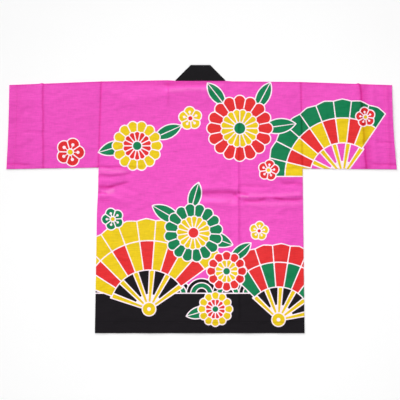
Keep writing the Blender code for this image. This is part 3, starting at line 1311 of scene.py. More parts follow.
@dataclass(frozen=True)
class Fan:
    """An open folding fan: a pleated leaf in two bands, on narrow sticks.

    Angles are in degrees, and `leaf_start`, `rim_start` and `notch` are shares
    of the radius. A stick's half width grows from `stick_end` by `stick_taper`
    of the distance from the pivot.
    """

    centre: Pair
    radius: float
    facing: float
    rim: Ink
    leaf: Ink
    second: Ink
    sticks: Ink
    backing: Ink = Ink.BLACK
    half_spread: float = 62.0
    pleats: int = 10
    gaps: int = 5
    leaf_start: float = 0.44
    rim_start: float = 0.76
    stick_end: float = 2.2
    stick_taper: float = 0.035
    open_from: float = 48.0
    pivot: float = 20.0
    rivet: float = 6.0
    notch: float = 0.022

    def stamp(self, screens: Screens, x: Array, y: Array) -> None:
        """Print the fan: what shows between the sticks, the sticks, the leaf and the pivot.

        The leaf is a ring sector cut into equal pleats, its rim notched by each
        pleat. The sticks are wedges that narrow towards the pivot.

        Args:
            screens: The screens to print on.
            x: Places along X in millimetres.
            y: Places along Y in millimetres.
        """
        reach, angle = polar(x, y, self.centre, self.facing)
        spread = math.radians(self.half_spread)
        beside = (np.abs(angle) - spread) * reach
        inner = self.radius * self.leaf_start
        screens.stamp(np.maximum(beside, reach - inner), Level.FLOWER)
        screens.lay(self.backing, self.open_from - reach)
        step = 2 * spread / self.gaps
        number = np.clip(np.round((angle + spread) / step), 0, self.gaps)
        from_stick = np.abs(angle + spread - number * step)
        stick = from_stick * reach - self.stick_end - self.stick_taper * reach
        screens.stamp(np.maximum(stick, reach - inner), Level.LEAF)
        screens.lay(self.sticks)
        screens.rule(alternate(number) * (step / 2 - from_stick) * reach)
        self._leaf(screens, reach, angle)
        screens.stamp(reach - self.pivot, Level.PAPER)
        screens.lay(self.sticks)
        screens.prick(reach * np.cos(angle), reach * np.sin(angle), self.rivet)

    def _leaf(self, screens: Screens, reach: Array, angle: Array) -> None:
        """Print the leaf, its ribs in a check of signs that turns at each pleat and at the rim band.

        Args:
            screens: The screens to print on.
            reach: Distance from the pivot.
            angle: Angle about the pivot, zero in the middle of the fan.
        """
        spread = math.radians(self.half_spread)
        pleat = 2 * spread / self.pleats
        place = (angle + spread) / pleat
        number = np.clip(np.floor(place), 0, self.pleats - 1)
        from_crest = np.abs(place - np.floor(place) - 0.5)
        high = self.radius * (1 - 2 * self.notch * from_crest)
        inner = self.radius * self.leaf_start
        rim = self.radius * self.rim_start
        beside = (np.abs(angle) - spread) * reach
        screens.stamp(np.maximum(np.maximum(reach - high, inner - reach), beside), Level.PAPER)
        nearest = np.clip(np.round(place), 1, self.pleats - 1)
        aside = np.abs(place - nearest) * pleat * reach
        side = alternate(number)
        screens.lay(self.rim, rim - reach)
        screens.lay(self.leaf, np.maximum(reach - rim, -side * aside))
        screens.lay(self.second, np.maximum(reach - rim, side * aside))
        screens.rule(side * np.sign(reach - rim) * np.minimum(aside, np.abs(reach - rim)))


@dataclass(frozen=True)
class Chrysanthemum:
    """A round flower head: two rings of petals about a small heart, sized as shares of its radius."""

    centre: Pair
    radius: float
    outer: Ink
    inner: Ink
    heart: Ink
    petals: int = 16
    turn: float = 0.0
    inner_radius: float = 0.57
    heart_radius: float = 0.17

    def stamp(self, screens: Screens, x: Array, y: Array) -> None:
        """Print the flower, the outer ring first.

        Args:
            screens: The screens to print on.
            x: Places along X in millimetres.
            y: Places along Y in millimetres.
        """
        reach, angle = polar(x, y, self.centre, self.turn)
        between = (angle + np.pi / self.petals) % (2 * np.pi)
        self._ring(screens, reach, angle, self.radius, Level.FLOWER)
        screens.lay(self.outer)
        self._ring(screens, reach, between, self.inner_radius * self.radius, Level.PAPER)
        screens.lay(self.inner)
        screens.stamp(reach - self.heart_radius * self.radius, Level.FLOWER)
        screens.lay(self.heart)

    def _ring(self, screens: Screens, reach: Array, angle: Array, high: float, level: Level) -> None:
        """Stamp one ring of petals: wedges that end in a circle touching both sides.

        Args:
            screens: The screens to print on.
            reach: Distance from the flower's centre.
            angle: Angle about the centre.
            high: The ring's outer radius.
            level: The ring's level.
        """
        half = np.pi / self.petals
        within = repeat(angle, 2 * half)
        tip_radius = high * math.sin(half) / (1 + math.sin(half))
        forward = reach * np.cos(within) - (high - tip_radius)
        aside = reach * np.sin(within)
        rounded = np.hypot(np.maximum(forward, 0.0), aside) - tip_radius
        screens.stamp(np.maximum(rounded, reach - high), level)
        screens.rule(spokes(reach, angle, self.petals))


@dataclass(frozen=True)
class PlumBlossom:
    """A plum blossom: round petals about a heart, a stamen with a dot on each petal.

    `petal_radius` to `heart_radius` are shares of `radius`.
    """

    centre: Pair
    radius: float
    petals: Ink
    heart: Ink
    turn: float = 90.0
    count: int = 5
    petal_radius: float = 0.44
    middle_radius: float = 0.5
    dot_radius: float = 0.115
    heart_radius: float = 0.19
    stamen_slim: float = 1.7

    def stamp(self, screens: Screens, x: Array, y: Array) -> None:
        """Print the blossom, its ribs in signs that turn at each stamen and between petals.

        Args:
            screens: The screens to print on.
            x: Places along X in millimetres.
            y: Places along Y in millimetres.
        """
        reach, angle = polar(x, y, self.centre, self.turn)
        half_step = np.pi / self.count
        within = repeat(angle, 2 * half_step)
        forward = reach * np.cos(within) - (1 - self.petal_radius) * self.radius
        aside = reach * np.sin(within)
        petal = np.hypot(forward, aside) - self.petal_radius * self.radius
        screens.stamp(np.minimum(petal, reach - self.middle_radius * self.radius), Level.FLOWER)
        screens.lay(self.petals)
        between = (half_step - np.abs(within)) * reach
        stamen = np.where(forward < 0, self.stamen_slim * np.abs(aside), SPLIT)
        screens.rule(alternate(np.floor(angle / half_step)) * np.minimum(between, stamen))
        screens.prick(forward, aside, self.dot_radius * self.radius)
        screens.stamp(reach - self.heart_radius * self.radius, Level.PAPER)
        screens.lay(self.heart)


@dataclass(frozen=True)
class Leaf:
    """A pointed leaf, the overlap of two circles, split by its midrib.

    `slim` is its width over its length, and `rib_tip` half the midrib's width at the tip.
    """

    base: Pair
    length: float
    turn: float
    ink: Ink = Ink.GREEN
    slim: float = 0.42
    rib_tip: float = 1.1

    def stamp(self, screens: Screens, x: Array, y: Array) -> None:
        """Print the leaf, its midrib narrowing to the tip.

        Args:
            screens: The screens to print on.
            x: Places along X in millimetres.
            y: Places along Y in millimetres.
        """
        reach, angle = polar(x, y, self.base, self.turn)
        forward = reach * np.cos(angle) - self.length / 2
        aside = reach * np.sin(angle)
        half_width = self.slim * self.length / 2
        radius = (self.length**2 / 4 + half_width**2) / (2 * half_width)
        screens.stamp(np.hypot(forward, np.abs(aside) + radius - half_width) - radius, Level.LEAF)
        screens.lay(self.ink)
        rib = mix(self.rib_tip, LINE / 2, np.clip(0.5 - forward / self.length, 0.0, 1.0))
        screens.rule(aside * LINE / 2 / rib)


@dataclass(frozen=True)
class WaveHem:
    """A dark hem under rows of overlapping wave scales, `piles` high from place to place."""

    hem: float
    top: float = 126.0
    radius: float = 47.0
    step: float = 84.0
    row_rise: float = 27.0
    first: float = -378.0
    ring: Pair = (0.39, 0.75)  # the green ring's radii, as shares
    piles: tuple[int, ...] = (4, 4, 3, 2, 1, 1, 2, 3, 2, 3)

    def stamp(self, screens: Screens, x: Array, y: Array) -> None:
        """Print the scales from the top row down, then the plain hem over their feet.

        Counted in half steps along the rows, neighbours are one or two apart,
        so three levels in turn keep them all apart.

        Args:
            screens: The screens to print on.
            x: Places along X in millimetres.
            y: Places along Y in millimetres.
        """
        base = self.hem + self.top
        levels = (Level.FIRST_SCALE, Level.SECOND_SCALE, Level.THIRD_SCALE)
        for row in range(max(self.piles), 0, -1):
            for number, pile in enumerate(self.piles):
                if row <= pile:
                    place = 2 * number + row % 2
                    centre = (self.first + place * self.step / 2, base + (row - 1) * self.row_rise)
                    reach = np.hypot(x - centre[0], y - centre[1])
                    self._scale(screens, reach, levels[place % len(levels)])
        screens.stamp(y - base, Level.CLOTH)
        screens.lay(Ink.BLACK)

    def _scale(self, screens: Screens, reach: Array, level: Level) -> None:
        """Print one scale: a dark disc with two bare arcs and a green ring.

        Args:
            screens: The screens to print on.
            reach: Distance from the scale's centre.
            level: The scale's level.
        """
        inner, outer = (share * self.radius for share in self.ring)
        ring = np.maximum(reach - outer, inner - reach)
        screens.stamp(reach - self.radius, level)
        screens.lay(Ink.BLACK, -ring)
        screens.lay(Ink.GREEN, ring)
        screens.rule(ring)


@dataclass(frozen=True)
class PrintDesign:
    """The coat's print: fans, flowers and leaves over a wave hem.

    The cloth runs over the shoulders, so a motif that crosses the shoulder line
    goes on upside down on the front; the hem is printed the same all round.
    """

    hem: WaveHem
    motifs: tuple[Fan | Chrysanthemum | PlumBlossom | Leaf, ...] = (
        Fan((-168, -352), 288, 98, Ink.YELLOW, Ink.RED, Ink.YELLOW, Ink.YELLOW),
        Fan((452, 74), 244, 118, Ink.GREEN, Ink.YELLOW, Ink.RED, Ink.YELLOW, Ink.GROUND, pleats=9),
        Fan((246, -386), 242, 74, Ink.RED, Ink.GREEN, Ink.RED, Ink.YELLOW, pleats=9),
        Leaf((196, 226), 104, 8),
        Leaf((176, 290), 92, 62),
        Leaf((74, 300), 88, 128),
        Chrysanthemum((122, 226), 104, Ink.RED, Ink.YELLOW, Ink.GREEN),
        Leaf((-236, 176), 96, 196),
        Leaf((-150, 196), 92, 24),
        Chrysanthemum((-206, 170), 78, Ink.YELLOW, Ink.RED, Ink.GREEN, petals=14),
        Leaf((-66, -74), 104, 150),
        Leaf((4, -112), 100, -20),
        Leaf((-34, -34), 88, 74),
        Chrysanthemum((-26, -108), 92, Ink.GREEN, Ink.YELLOW, Ink.RED, turn=8),
        Leaf((92, -196), 84, 40),
        Chrysanthemum((80, -231), 62, Ink.RED, Ink.YELLOW, Ink.GREEN, petals=12),
        Leaf((30, -352), 80, 196),
        Chrysanthemum((44, -352), 54, Ink.YELLOW, Ink.RED, Ink.GREEN, petals=12),
        PlumBlossom((-420, 150), 44, Ink.RED, Ink.YELLOW, 70),
        PlumBlossom((-36, 258), 36, Ink.YELLOW, Ink.RED, 96),
        PlumBlossom((214, 92), 32, Ink.RED, Ink.YELLOW, 80),
        PlumBlossom((-284, -64), 34, Ink.GREEN, Ink.YELLOW, 110),
        PlumBlossom((184, -102), 29, Ink.YELLOW, Ink.RED, 84),
        PlumBlossom((524, 262), 30, Ink.RED, Ink.YELLOW, 100),
    )

    def screens(self, x: Array, y: Array, unfolded_y: Array) -> Screens:
        """Print the design on one piece.

        Args:
            x: Places along X in metres.
            y: Places along Y in metres, as the piece lies.
            unfolded_y: The same with the front laid out beyond the shoulder line.

        Returns:
            The screens.
        """
        screens = Screens(x.shape)
        self.hem.stamp(screens, x / MM, y / MM)
        for motif in self.motifs:
            motif.stamp(screens, x / MM, unfolded_y / MM)
        return screens


# ---- The cut pieces ----


FINE = tuple(d * MM for d in (0.0, 0.15, 0.45, 0.9, 1.5, 3.0))  # grid lines beside every edge
SEAM = 0.01 * MM  # sewn pieces stop this far short of their seam
Edge = Callable[[Array], Array]


def spaced(low: Array | float, high: Array | float, lines: tuple[Array, int]) -> Array:
    """Lay lines between two edges; the crowded ones keep their distance from the edge.

    Args:
        low: Place of the first edge.
        high: Place of the second.
        lines: Distances and count from `edge_lines`.

    Returns:
        The place of each line.
    """
    distances, fine = lines
    length = distances[-1]
    edge = distances[fine - 1]
    place = mix(low + edge, high - edge, (distances - edge) / (length - 2 * edge))
    place = np.where(distances < edge, low + distances, place)
    return np.where(distances > length - edge, high - (length - distances), place)


@dataclass(frozen=True)
class Finishes:
    """The coat's materials."""

    face: Material
    reverse: Material
    collar: Material
    dark_thread: Material
    pink_thread: Material

    @classmethod
    def build(cls) -> Finishes:
        """Make every material.

        Returns:
            The finishes.
        """
        return cls(
            face=PrintedCotton("cotton_screen_printed_face", strength=1.0).build(),
            reverse=PrintedCotton("cotton_screen_printed_reverse", strength=0.28).build(),
            collar=DyedCotton("cotton_dyed_black", "#0D0B0E", "#19161A").build(),
            dark_thread=DyedCotton("thread_spun_black", "#1F1B1D", "#332E31").build(),
            pink_thread=DyedCotton("thread_spun_magenta", "#E060BC", "#EE86D0").build(),
        )


def cloth_shell(piece: Piece, faces: tuple[Material, ...], thickness: float) -> None:
    """Give a sheet its materials and its thickness, inwards from the face.

    Args:
        piece: The sheet.
        faces: The face's material and, where it has one of its own, the reverse's.
        thickness: The cloth's thickness.
    """
    for face in faces:
        piece.data.materials.append(face)
    shell = piece.modifiers.new("cloth", "SOLIDIFY")
    shell.thickness = thickness
    shell.offset = -1.0
    shell.material_offset = len(faces) - 1
    shell.material_offset_rim = 0


def put_on(piece: Piece, node: str) -> None:
    """Let a piece stand for its solid: attach it to the coat's body and hide the solid.

    Args:
        piece: The piece.
        node: The solid's node.
    """
    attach(piece, BODY)
    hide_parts(node)
    LOG.info("%s stands for %s", piece.name, node)


@dataclass(frozen=True)
class PrintedPart:
    """Cut pieces of the printed cloth, and what they are made with."""

    drape: Drape
    design: PrintDesign
    finishes: Finishes

    def sew(self, node: str, points: Array, unfolded_y: Array, tone: Array, ring: bool = False) -> Piece:
        """Make one piece: its face, its print, its thickness and the solid it stands for.

        Args:
            node: The solid's node.
            points: Array of rows by columns by 3.
            unfolded_y: Y of each point with the front laid out beyond the shoulder line.
            tone: The painted shade and highlight at each point.
            ring: Whether each row closes on itself.

        Returns:
            The piece.
        """
        piece = grid_object(f"{node}_cloth", points, ring=ring)
        fields = self.design.screens(points[..., 0], points[..., 1], unfolded_y).fields()
        for name, values in (fields | {"tone": tone}).items():
            kind, entry = ("FLOAT_VECTOR", "vector") if values.ndim > tone.ndim else ("FLOAT", "value")
            store = piece.data.attributes.new(name, kind, "POINT")
            store.data.foreach_set(entry, values.astype(np.float32).ravel())
        cloth_shell(piece, (self.finishes.face, self.finishes.reverse), CLOTH)
        put_on(piece, node)
        return piece


@dataclass(frozen=True)
class Panels(PrintedPart):
    """The flat-cut pieces: the back and the two fronts."""

    back_pitch: float = 3.65 * MM
    front_pitch: float = 4.2 * MM
    reverse_painted_shading: float = 0.5  # share of the back's painted shade and highlight that the fronts take
    fold_column: Triple = (0.108, 0.129, 1.9 * MM)  # start, end and spacing of crowded lines
    fold_rows: tuple[Triple, ...] = ((-0.012, 0.018, 2.4 * MM), (0.096, 0.108, 2.0 * MM))
    back_flat: Pair = (0.694, 0.855)
    front_flat: Pair = (0.272, 0.855)

    def _lay_out(self, low_x: Edge, high_x: Edge, pitch: float) -> tuple[Array, Array]:
        """Grid lines from side to side and from the hem to the shoulder line.

        Args:
            low_x: Edge towards -X, as a function of Y.
            high_x: Edge towards +X, as a function of Y.
            pitch: Spacing of the lines.

        Returns:
            X and Y of each point.
        """
        plan = self.drape.plan
        top, middle = np.array([plan.neck_line]), np.array([0.0])
        low, high = float(low_x(middle)[0]), float(high_x(middle)[0])
        start, end, step = self.fold_column
        columns = ((start - low, end - low, step),) if low < start < high else ()
        wide = edge_lines(high - low, pitch, FINE, columns)
        rows = tuple((a - plan.hem, b - plan.hem, step) for a, b, step in self.fold_rows)
        tall = edge_lines(plan.neck_line - plan.hem, pitch, FINE, rows)
        shoulder = plan.shoulder(spaced(low_x(top), high_x(top), wide))
        y = spaced(plan.hem, shoulder[:, None], tall).T
        return spaced(low_x(y), high_x(y), wide), y

    def back(self) -> Piece:
        """Sew the back: its face up, its sides rolled down to the fronts.

        Returns:
            The piece.
        """
        plan = self.drape.plan
        x, y = self._lay_out(
            lambda v: plan.side(Side.LEFT, v) + SEAM,
            lambda v: plan.side(Side.RIGHT, v) - SEAM,
            self.back_pitch,
        )
        points = placed(x, y, self.drape.body(x, y))
        return self.sew("back", points, y, self.drape.body_painted_shading(x, y))

    def front(self, side: Side) -> Piece:
        """Sew one front, face down on the ground, from its side seam to the collar band.

        Args:
            side: Which front.

        Returns:
            The piece.
        """
        plan = self.drape.plan
        edges = [
            lambda v: plan.side(side, v) - side.value * SEAM,
            lambda v: 0 * v + plan.centre + side.value * (plan.neck_half + SEAM),
        ]
        low, high = edges if side is Side.LEFT else edges[::-1]
        x, y = (lines[:, ::-1] for lines in self._lay_out(low, high, self.front_pitch))
        points = placed(x, y, self.drape.front(side, x, y))
        tone = self.reverse_painted_shading * self.drape.body_painted_shading(x, y)
        return self.sew(f"front_{side.word}", points, 2 * plan.shoulder(x) - y, tone)


@dataclass(frozen=True)
class Sleeve(PrintedPart):
    """A sleeve: one piece folded along the top and sewn under the arm, laid flat."""

    side: Side
    pitch: float = 3.2 * MM
    armhole_x: float = 0.318
    start: float = 0.00004  # share of the length by which it stops short of the armhole
    stored_fold: Pair = (0.592, 0.688)  # its start and end, as shares of the length
    stored_pitch: float = 1.8 * MM
    fold_steps: int = 8
    flat: Pair = (0.575, 0.330)

    def build(self) -> Piece:
        """Sew the sleeve as a ring of cloth from the armhole to the cuff.

        Returns:
            The piece.
        """
        plan, side = self.drape.plan, self.side
        length = abs(plan.cuffs[side].top_x) - self.armhole_x
        stored = (self.stored_fold[0] * length, self.stored_fold[1] * length, self.stored_pitch)
        distances, fine = edge_lines(length, self.pitch, FINE, (stored,))
        along = spaced(self.start, 1.0, (distances / distances[-1], fine))[:, None]
        under = plan.sleeve_under(side, along) + FOLD
        top = plan.sleeve_top(side, along) - FOLD
        y = spaced(under, top, edge_lines(plan.armhole_top - plan.armpit, self.pitch, FINE))
        turn = np.linspace(0, np.pi, self.fold_steps + 1)[1:-1]
        upper = self._layer(y, along, self.drape.sleeve)
        lower = self._layer(y[:, ::-1], along, self.drape.sleeve_under_face)
        top_fold = self._fold(along, top, turn)
        under_fold = self._fold(along, under, turn + np.pi)
        points = np.concatenate([upper, top_fold, lower, under_fold], axis=1)
        low = y.shape[1] + len(turn) // 2
        front = slice(low, low + y.shape[1] + len(turn))
        unfolded_y = points[..., 1].copy()
        unfolded_y[:, front] = 2 * plan.sleeve_top(side, along) - unfolded_y[:, front]
        if side is Side.RIGHT:
            points, unfolded_y = points[::-1], unfolded_y[::-1]
        tone = self.drape.sleeve_tone(side, points[..., 0], points[..., 1])
        return self.sew(f"sleeve_{side.word}", points, unfolded_y, tone, ring=True)

    def _layer(self, y: Array, along: Array, height: Callable[..., Array]) -> Array:
        """Points of one flat layer.

        Args:
            y: Y of each point.
            along: Share of the way from the armhole to the cuff.
            height: The layer's height.

        Returns:
            Array of rows by columns by 3.
        """
        along = along + 0 * y
        x = self.drape.plan.sleeve_x(self.side, along, y)
        return placed(x, y, height(self.side, x, y, along))

    def _fold(self, along: Array, edge: Array, turn: Array) -> Array:
        """Points round one pressed fold: a half circle about its middle height.

        Args:
            along: Share of the way from the armhole to the cuff.
            edge: Y where the fold's half circle starts.
            turn: Angles from the upper layer, through the outside, to the lower one.

        Returns:
            Array of rows by angles by 3.
        """
        y = edge + FOLD * np.sin(turn)
        x = self.drape.plan.sleeve_x(self.side, along, y)
        return placed(x, y, FOLD + FOLD * np.cos(turn))


@dataclass(frozen=True)
class CollarBand:
    """The collar: a long strip folded double, across the back of the neck and down both fronts.

    At each shoulder it turns under along a slanted fold, so that it runs down
    the front with its other face to the ground.
    """

    drape: Drape
    finishes: Finishes
    pitch: float = 5.0 * MM
    edge_points: int = 7
    flat_points: int = 13
    turn_steps: int = 14
    neck_steps: int = 25
    thickness: float = 0.55 * MM
    front_hump: float = 0.25 * MM
    neck_hump: float = 0.35 * MM
    neck_rise: float = 8.0  # the neck's hump is whole past one part in this many of its length
    wave: float = 31 * MM
    wander: float = 47 * MM
    swing: float = 2.0  # radians that the waves stray by along the band
    skew: float = 2.2  # radians that they lean by across it
    even: float = 0.6  # the share of the hump that doesn't wave
    hem_stations: tuple[float, ...] = (0.0, 0.2 * MM, 0.6 * MM, 1.2 * MM)
    flat: Pair = (0.101, 1.77)

    def build(self) -> Piece:
        """Sew the band as a closed flat tube along its folded path.

        Returns:
            The piece.
        """
        piece = grid_object("collar_cloth", self._stations(*self._section()), ring=True, caps=True)
        cloth_shell(piece, (self.finishes.collar,), self.thickness)
        put_on(piece, "collar")
        return piece

    def _section(self) -> tuple[Array, Array]:
        """The band's outline: a flat strip with both edges fully rounded.

        Returns:
            Distance from the sewn edge, and offset from the middle layer.
        """
        half, width = BAND / 2, self.drape.plan.collar_width
        turn = np.linspace(-np.pi / 2, np.pi / 2, self.edge_points)
        flat = np.linspace(half, width - half, self.flat_points + 2)[1:-1]
        out, up = half * np.cos(turn), half * np.sin(turn)
        across = np.concatenate([width - half + out, flat[::-1], half - out, flat])
        return across, np.concatenate([up, half + 0 * flat, -up, -half + 0 * flat])

    def _stations(self, across: Array, normal: Array) -> Array:
        """The section at each place along the band, from the left hem to the right.

        Args:
            across: Distance from the sewn edge.
            normal: Offset from the middle layer, towards the side that faces up on the neck.

        Returns:
            Array of stations by section points by 3.
        """
        plan = self.drape.plan
        bend = (BAND + GAP) / 2
        share = across / plan.collar_width
        inner = across - plan.neck_half
        left = []
        for y in self._down(plan.neck_line, plan.hem):
            lift = self._soft(y, share, self.front_hump) * (normal < 0)
            left.append((inner, y, BAND / 2 - normal + lift))
        for turn in np.linspace(np.pi, 0, self.turn_steps + 1):
            slanted = math.sin(turn) / math.sqrt(2)
            x = inner - bend * slanted * (1 + share) - normal * slanted
            y = plan.neck_line + across + bend * slanted * (1 - share) + normal * slanted
            left.append((x, y, BAND / 2 + bend + (bend + normal) * math.cos(turn)))
        neck = []
        for step in np.linspace(0, 1, self.neck_steps + 1)[1:-1]:
            x = mix(inner, -inner, step)
            whole = ease(min(step, 1 - step) * self.neck_rise)
            lift = self._soft(x, share, self.neck_hump) * whole * (normal > 0)
            neck.append((x, plan.neck_line + across, BAND / 2 + 2 * bend + normal + lift))
        right = [(-x, y, z) for x, y, z in left[::-1]]
        points = np.stack([placed(*station) for station in left + neck + right])
        points[..., 0] += plan.centre
        return points

    def _down(self, top: float, bottom: float) -> Array:
        """Stations from the hem up to just below the fold, a few of them close to the hem.

        Args:
            top: Y of the fold.
            bottom: Y of the hem.

        Returns:
            Y of each station.
        """
        middle = np.arange(bottom + self.pitch, top - self.pitch / 2, self.pitch)
        return np.concatenate([bottom + np.array(self.hem_stations), middle])

    def _soft(self, place: Array | float, share: Array, size: float) -> Array:
        """Unevenness of the band's upper layer: a parabola across it, waving along it.

        Args:
            place: Distance along the band.
            share: Share of the way across it from the sewn edge.
            size: Its greatest height.

        Returns:
            Heights in metres, none below zero.
        """
        hump = np.clip(4 * share * (1 - share), 0, 1)
        stray = self.swing * np.sin(place / self.wander)
        wave = np.sin(place / self.wave + stray + self.skew * share)
        return size * hump * (self.even + (1 - self.even) * wave)


# ---- Sewing ----


@dataclass(frozen=True)
class StitchRow:
    """A row of machine stitches along a line on the cloth.

    A stitch arches over its ends and sinks into the face, both counted in
    threads, and `blunt` keeps its ends from closing to a point.
    """

    name: str
    pitch: float = 3.4 * MM
    length: float = 2.5 * MM
    thread: float = 0.55 * MM
    sides: int = 6
    rings: int = 6
    arch: float = 0.45
    sink: float = 0.30
    blunt: float = 0.02

    def sew(self, line: Array, finish: Material) -> Piece:
        """Place the stitches along the line as one object.

        Each stitch is a spindle that dips into the cloth at both ends: its radius
        follows the root of a half sine, its height the half sine itself.

        Args:
            line: Places on the cloth's face, close together.
            finish: The thread's material.

        Returns:
            The row.
        """
        steps = np.linalg.norm(np.diff(line, axis=0), axis=1)
        travelled = np.concatenate([[0.0], np.cumsum(steps)])
        count = int((travelled[-1] - self.length) // self.pitch) + 1
        starts = np.arange(count) * self.pitch
        share = np.linspace(0, 1, self.rings)
        along = starts[:, None] + share * self.length
        centre = np.stack([np.interp(along, travelled, line[:, axis]) for axis in range(3)], axis=-1)
        hump = np.sin(np.pi * share)
        centre[..., 2] += self.thread * (self.arch * hump - self.sink)
        forward = centre[:, -1] - centre[:, 0]
        forward /= np.linalg.norm(forward, axis=1, keepdims=True)
        sideways = np.cross(np.array([0.0, 0.0, 1.0]), forward)
        upward = np.cross(forward, sideways)
        angle = np.arange(self.sides) / self.sides * 2 * np.pi
        radius = self.thread / 2 * np.sqrt(hump + self.blunt)
        ring = sideways[:, None] * np.cos(angle)[:, None] + upward[:, None] * np.sin(angle)[:, None]
        points = centre[:, :, None, :] + radius[:, None, None] * ring[:, None]
        row = tube_rows(self.name, points)
        row.data.materials.append(finish)
        LOG.info("%s: %d stitches", self.name, count)
        return row


def tube_rows(name: str, points: Array) -> Piece:
    """Make many separate capped tubes as one object.

    Args:
        name: The object's name.
        points: Array of tubes by rings by sides by 3.

    Returns:
        The linked object, shaded smooth.
    """
    tubes, rings, sides = points.shape[:3]
    index = np.arange(tubes * rings * sides).reshape(tubes, rings, sides)
    after = np.roll(index, -1, axis=2)
    quads = np.stack([index[:, :-1], after[:, :-1], after[:, 1:], index[:, 1:]], axis=-1)
    faces = quads.reshape(-1, 4).tolist()
    faces += index[:, 0, ::-1].tolist() + index[:, -1].tolist()
    mesh = bpy.data.meshes.new(name)
    mesh.from_pydata(points.reshape(-1, 3).tolist(), [], faces)
    return link_piece(name, mesh)


@dataclass(frozen=True)
class Sewing:
    """The rows of stitches that show: the hem, the cuffs and the collar's edge.

    A turn-up's row lies `inset` inside its edge, and each row stops short of the seams by its ends.
    """

    drape: Drape
    finishes: Finishes
    inset: float = 1.6 * MM
    hem_ends: float = 9 * MM
    cuff_ends: float = 5 * MM
    collar_ends: float = 7 * MM
    collar_inset: float = 3 * MM
    collar_lift: float = 0.05 * MM
    collar_pitch: float = 3.0 * MM
    hem_points: int = 800  # places that a row's line is drawn through
    cuff_points: int = 400
    collar_points: int = 200

    def hem(self) -> Piece:
        """Stitch the back's hem, just inside the upper edge of its turn-up.

        Returns:
            The row.
        """
        plan = self.drape.plan
        ends = plan.body_left[0] + self.hem_ends, plan.body_right[0] - self.hem_ends
        x = np.linspace(*ends, self.hem_points)
        y = plan.hem + self.drape.hem_turn - self.inset + 0 * x
        line = placed(x, y, self.drape.body(x, y))
        return StitchRow("stitches_hem").sew(line, self.finishes.dark_thread)

    def cuff(self, side: Side) -> Piece:
        """Stitch a cuff's turn-up across the sleeve's upper layer.

        Args:
            side: Which sleeve.

        Returns:
            The row.
        """
        plan, cuff = self.drape.plan, self.drape.plan.cuffs[side]
        ends = cuff.under_y + self.cuff_ends, cuff.top_y - self.cuff_ends
        y = np.linspace(*ends, self.cuff_points)
        edge, armhole = plan.sleeve_x(side, np.ones_like(y), y), plan.side(side, y)
        x = edge - side.value * (self.drape.cuff_turn - self.inset)
        height = self.drape.sleeve(side, x, y, (x - armhole) / (edge - armhole))
        row = StitchRow(f"stitches_cuff_{side.word}")
        return row.sew(placed(x, y, height), self.finishes.pink_thread)

    def collar(self) -> Piece:
        """Stitch the collar's sewn edge across the back of the neck.

        Returns:
            The row.
        """
        plan = self.drape.plan
        half = plan.neck_half - self.collar_ends
        x = np.linspace(-1, 1, self.collar_points) * half + plan.centre
        line = placed(x, plan.neck_line + self.collar_inset, 2 * BAND + GAP + self.collar_lift)
        return StitchRow("stitches_collar", self.collar_pitch).sew(line, self.finishes.dark_thread)


# ---- The room ----


class LightKind(Enum):
    """A square lamp of some width in metres, or daylight that spreads over some degrees."""

    LAMP = "AREA"
    DAYLIGHT = "SUN"


@dataclass(frozen=True)
class SoftLight:
    """A light that looks at the middle of the coat."""

    name: str
    kind: LightKind
    place: Triple
    spread: float
    strength: float

    def hang(self) -> None:
        """Add the light."""
        data = bpy.data.lights.new(self.name, self.kind.value)
        data.energy = self.strength
        if self.kind is LightKind.LAMP:
            data.size = self.spread
        else:
            data.angle = math.radians(self.spread)
        light = bpy.data.objects.new(self.name, data)
        light.location = self.place
        light.rotation_euler = (-Vector(self.place)).to_track_quat("-Z", "Y").to_euler()
        bpy.context.collection.objects.link(light)


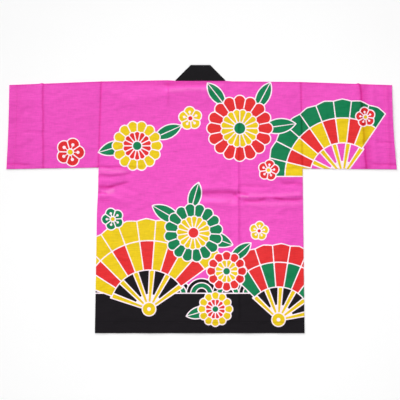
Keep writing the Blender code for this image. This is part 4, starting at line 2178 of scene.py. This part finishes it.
@dataclass(frozen=True)
class Studio:
    """A pale table top seen from straight above, under soft light from the upper left."""

    height: float = 6.0
    view_width: float = 1.28
    middle: Pair = (-0.0051, -0.0032)
    floor_half: float = 20.0
    floor_level: float = -0.2 * MM
    lights: tuple[SoftLight, ...] = (
        SoftLight("window_light", LightKind.DAYLIGHT, (-1.5, 2.4, 1.35), 36.0, 1.95),
        SoftLight("roof_light", LightKind.DAYLIGHT, (-0.2, 1.0, 2.1), 20.0, 1.12),
        SoftLight("overhead_lamp", LightKind.LAMP, (0.04, -0.12, 1.3), 0.5, 3.3),
    )
    sky: float = 0.30
    sensor: float = 36.0

    def build(self) -> None:
        """Add the floor, the lights, the sky and the camera."""
        ends = np.array([-self.floor_half, self.floor_half])
        x, y = np.meshgrid(ends, ends)
        floor = grid_object("table_top", placed(x, y, self.floor_level))
        floor.data.materials.append(PaleFloor().build())
        for light in self.lights:
            light.hang()
        scene = bpy.context.scene
        scene.world = bpy.data.worlds.new("soft_sky")
        scene.world.use_nodes = True
        tree = scene.world.node_tree
        set_inputs(tree, tree.nodes["Background"], {"Strength": self.sky, "Color": linear("#FFFFFF")})
        scene.view_settings.view_transform = "Standard"
        data = bpy.data.cameras.new("overhead_camera")
        data.sensor_width = self.sensor
        data.lens = self.sensor * self.height / self.view_width
        camera = bpy.data.objects.new("overhead_camera", data)
        camera.location = (*self.middle, self.height)
        bpy.context.collection.objects.link(camera)
        scene.camera = camera


# ---- The coat ----


@dataclass
class HappiCoat:
    """The whole coat, built from its cut pieces."""

    plan: CoatPlan
    pieces: dict[str, Piece] = field(default_factory=dict)

    def build(self) -> None:
        """Cut, print and sew every piece and its rows of stitches."""
        drape = Drape(self.plan)
        design = PrintDesign(WaveHem(self.plan.hem / MM))
        finishes = Finishes.build()
        panels = Panels(drape, design, finishes)
        self._keep(panels.back())
        for side in Side:
            self._keep(panels.front(side))
        sleeves = {side: Sleeve(drape, design, finishes, side) for side in Side}
        for sleeve in sleeves.values():
            self._keep(sleeve.build())
        collar = CollarBand(drape, finishes)
        self._keep(collar.build())
        sewing = Sewing(drape, finishes)
        hem_row, collar_row = self._keep(sewing.hem()), self._keep(sewing.collar())
        cuff_rows = {side: self._keep(sewing.cuff(side)) for side in Side}
        for row in (hem_row, collar_row, *cuff_rows.values()):
            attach(row, BODY)

    def _keep(self, piece: Piece) -> Piece:
        """Remember a piece by its name.

        Args:
            piece: The piece.

        Returns:
            The same piece.
        """
        self.pieces[piece.name] = piece
        LOG.info("made %s with %d faces", piece.name, len(piece.data.polygons))
        return piece


def main() -> None:
    """Build the coat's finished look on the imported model."""
    logging.basicConfig(level=logging.INFO, format="%(name)s: %(message)s")
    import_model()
    HappiCoat(CoatPlan.from_frame()).build()
    Studio().build()


if __name__ == "__main__":
    main()
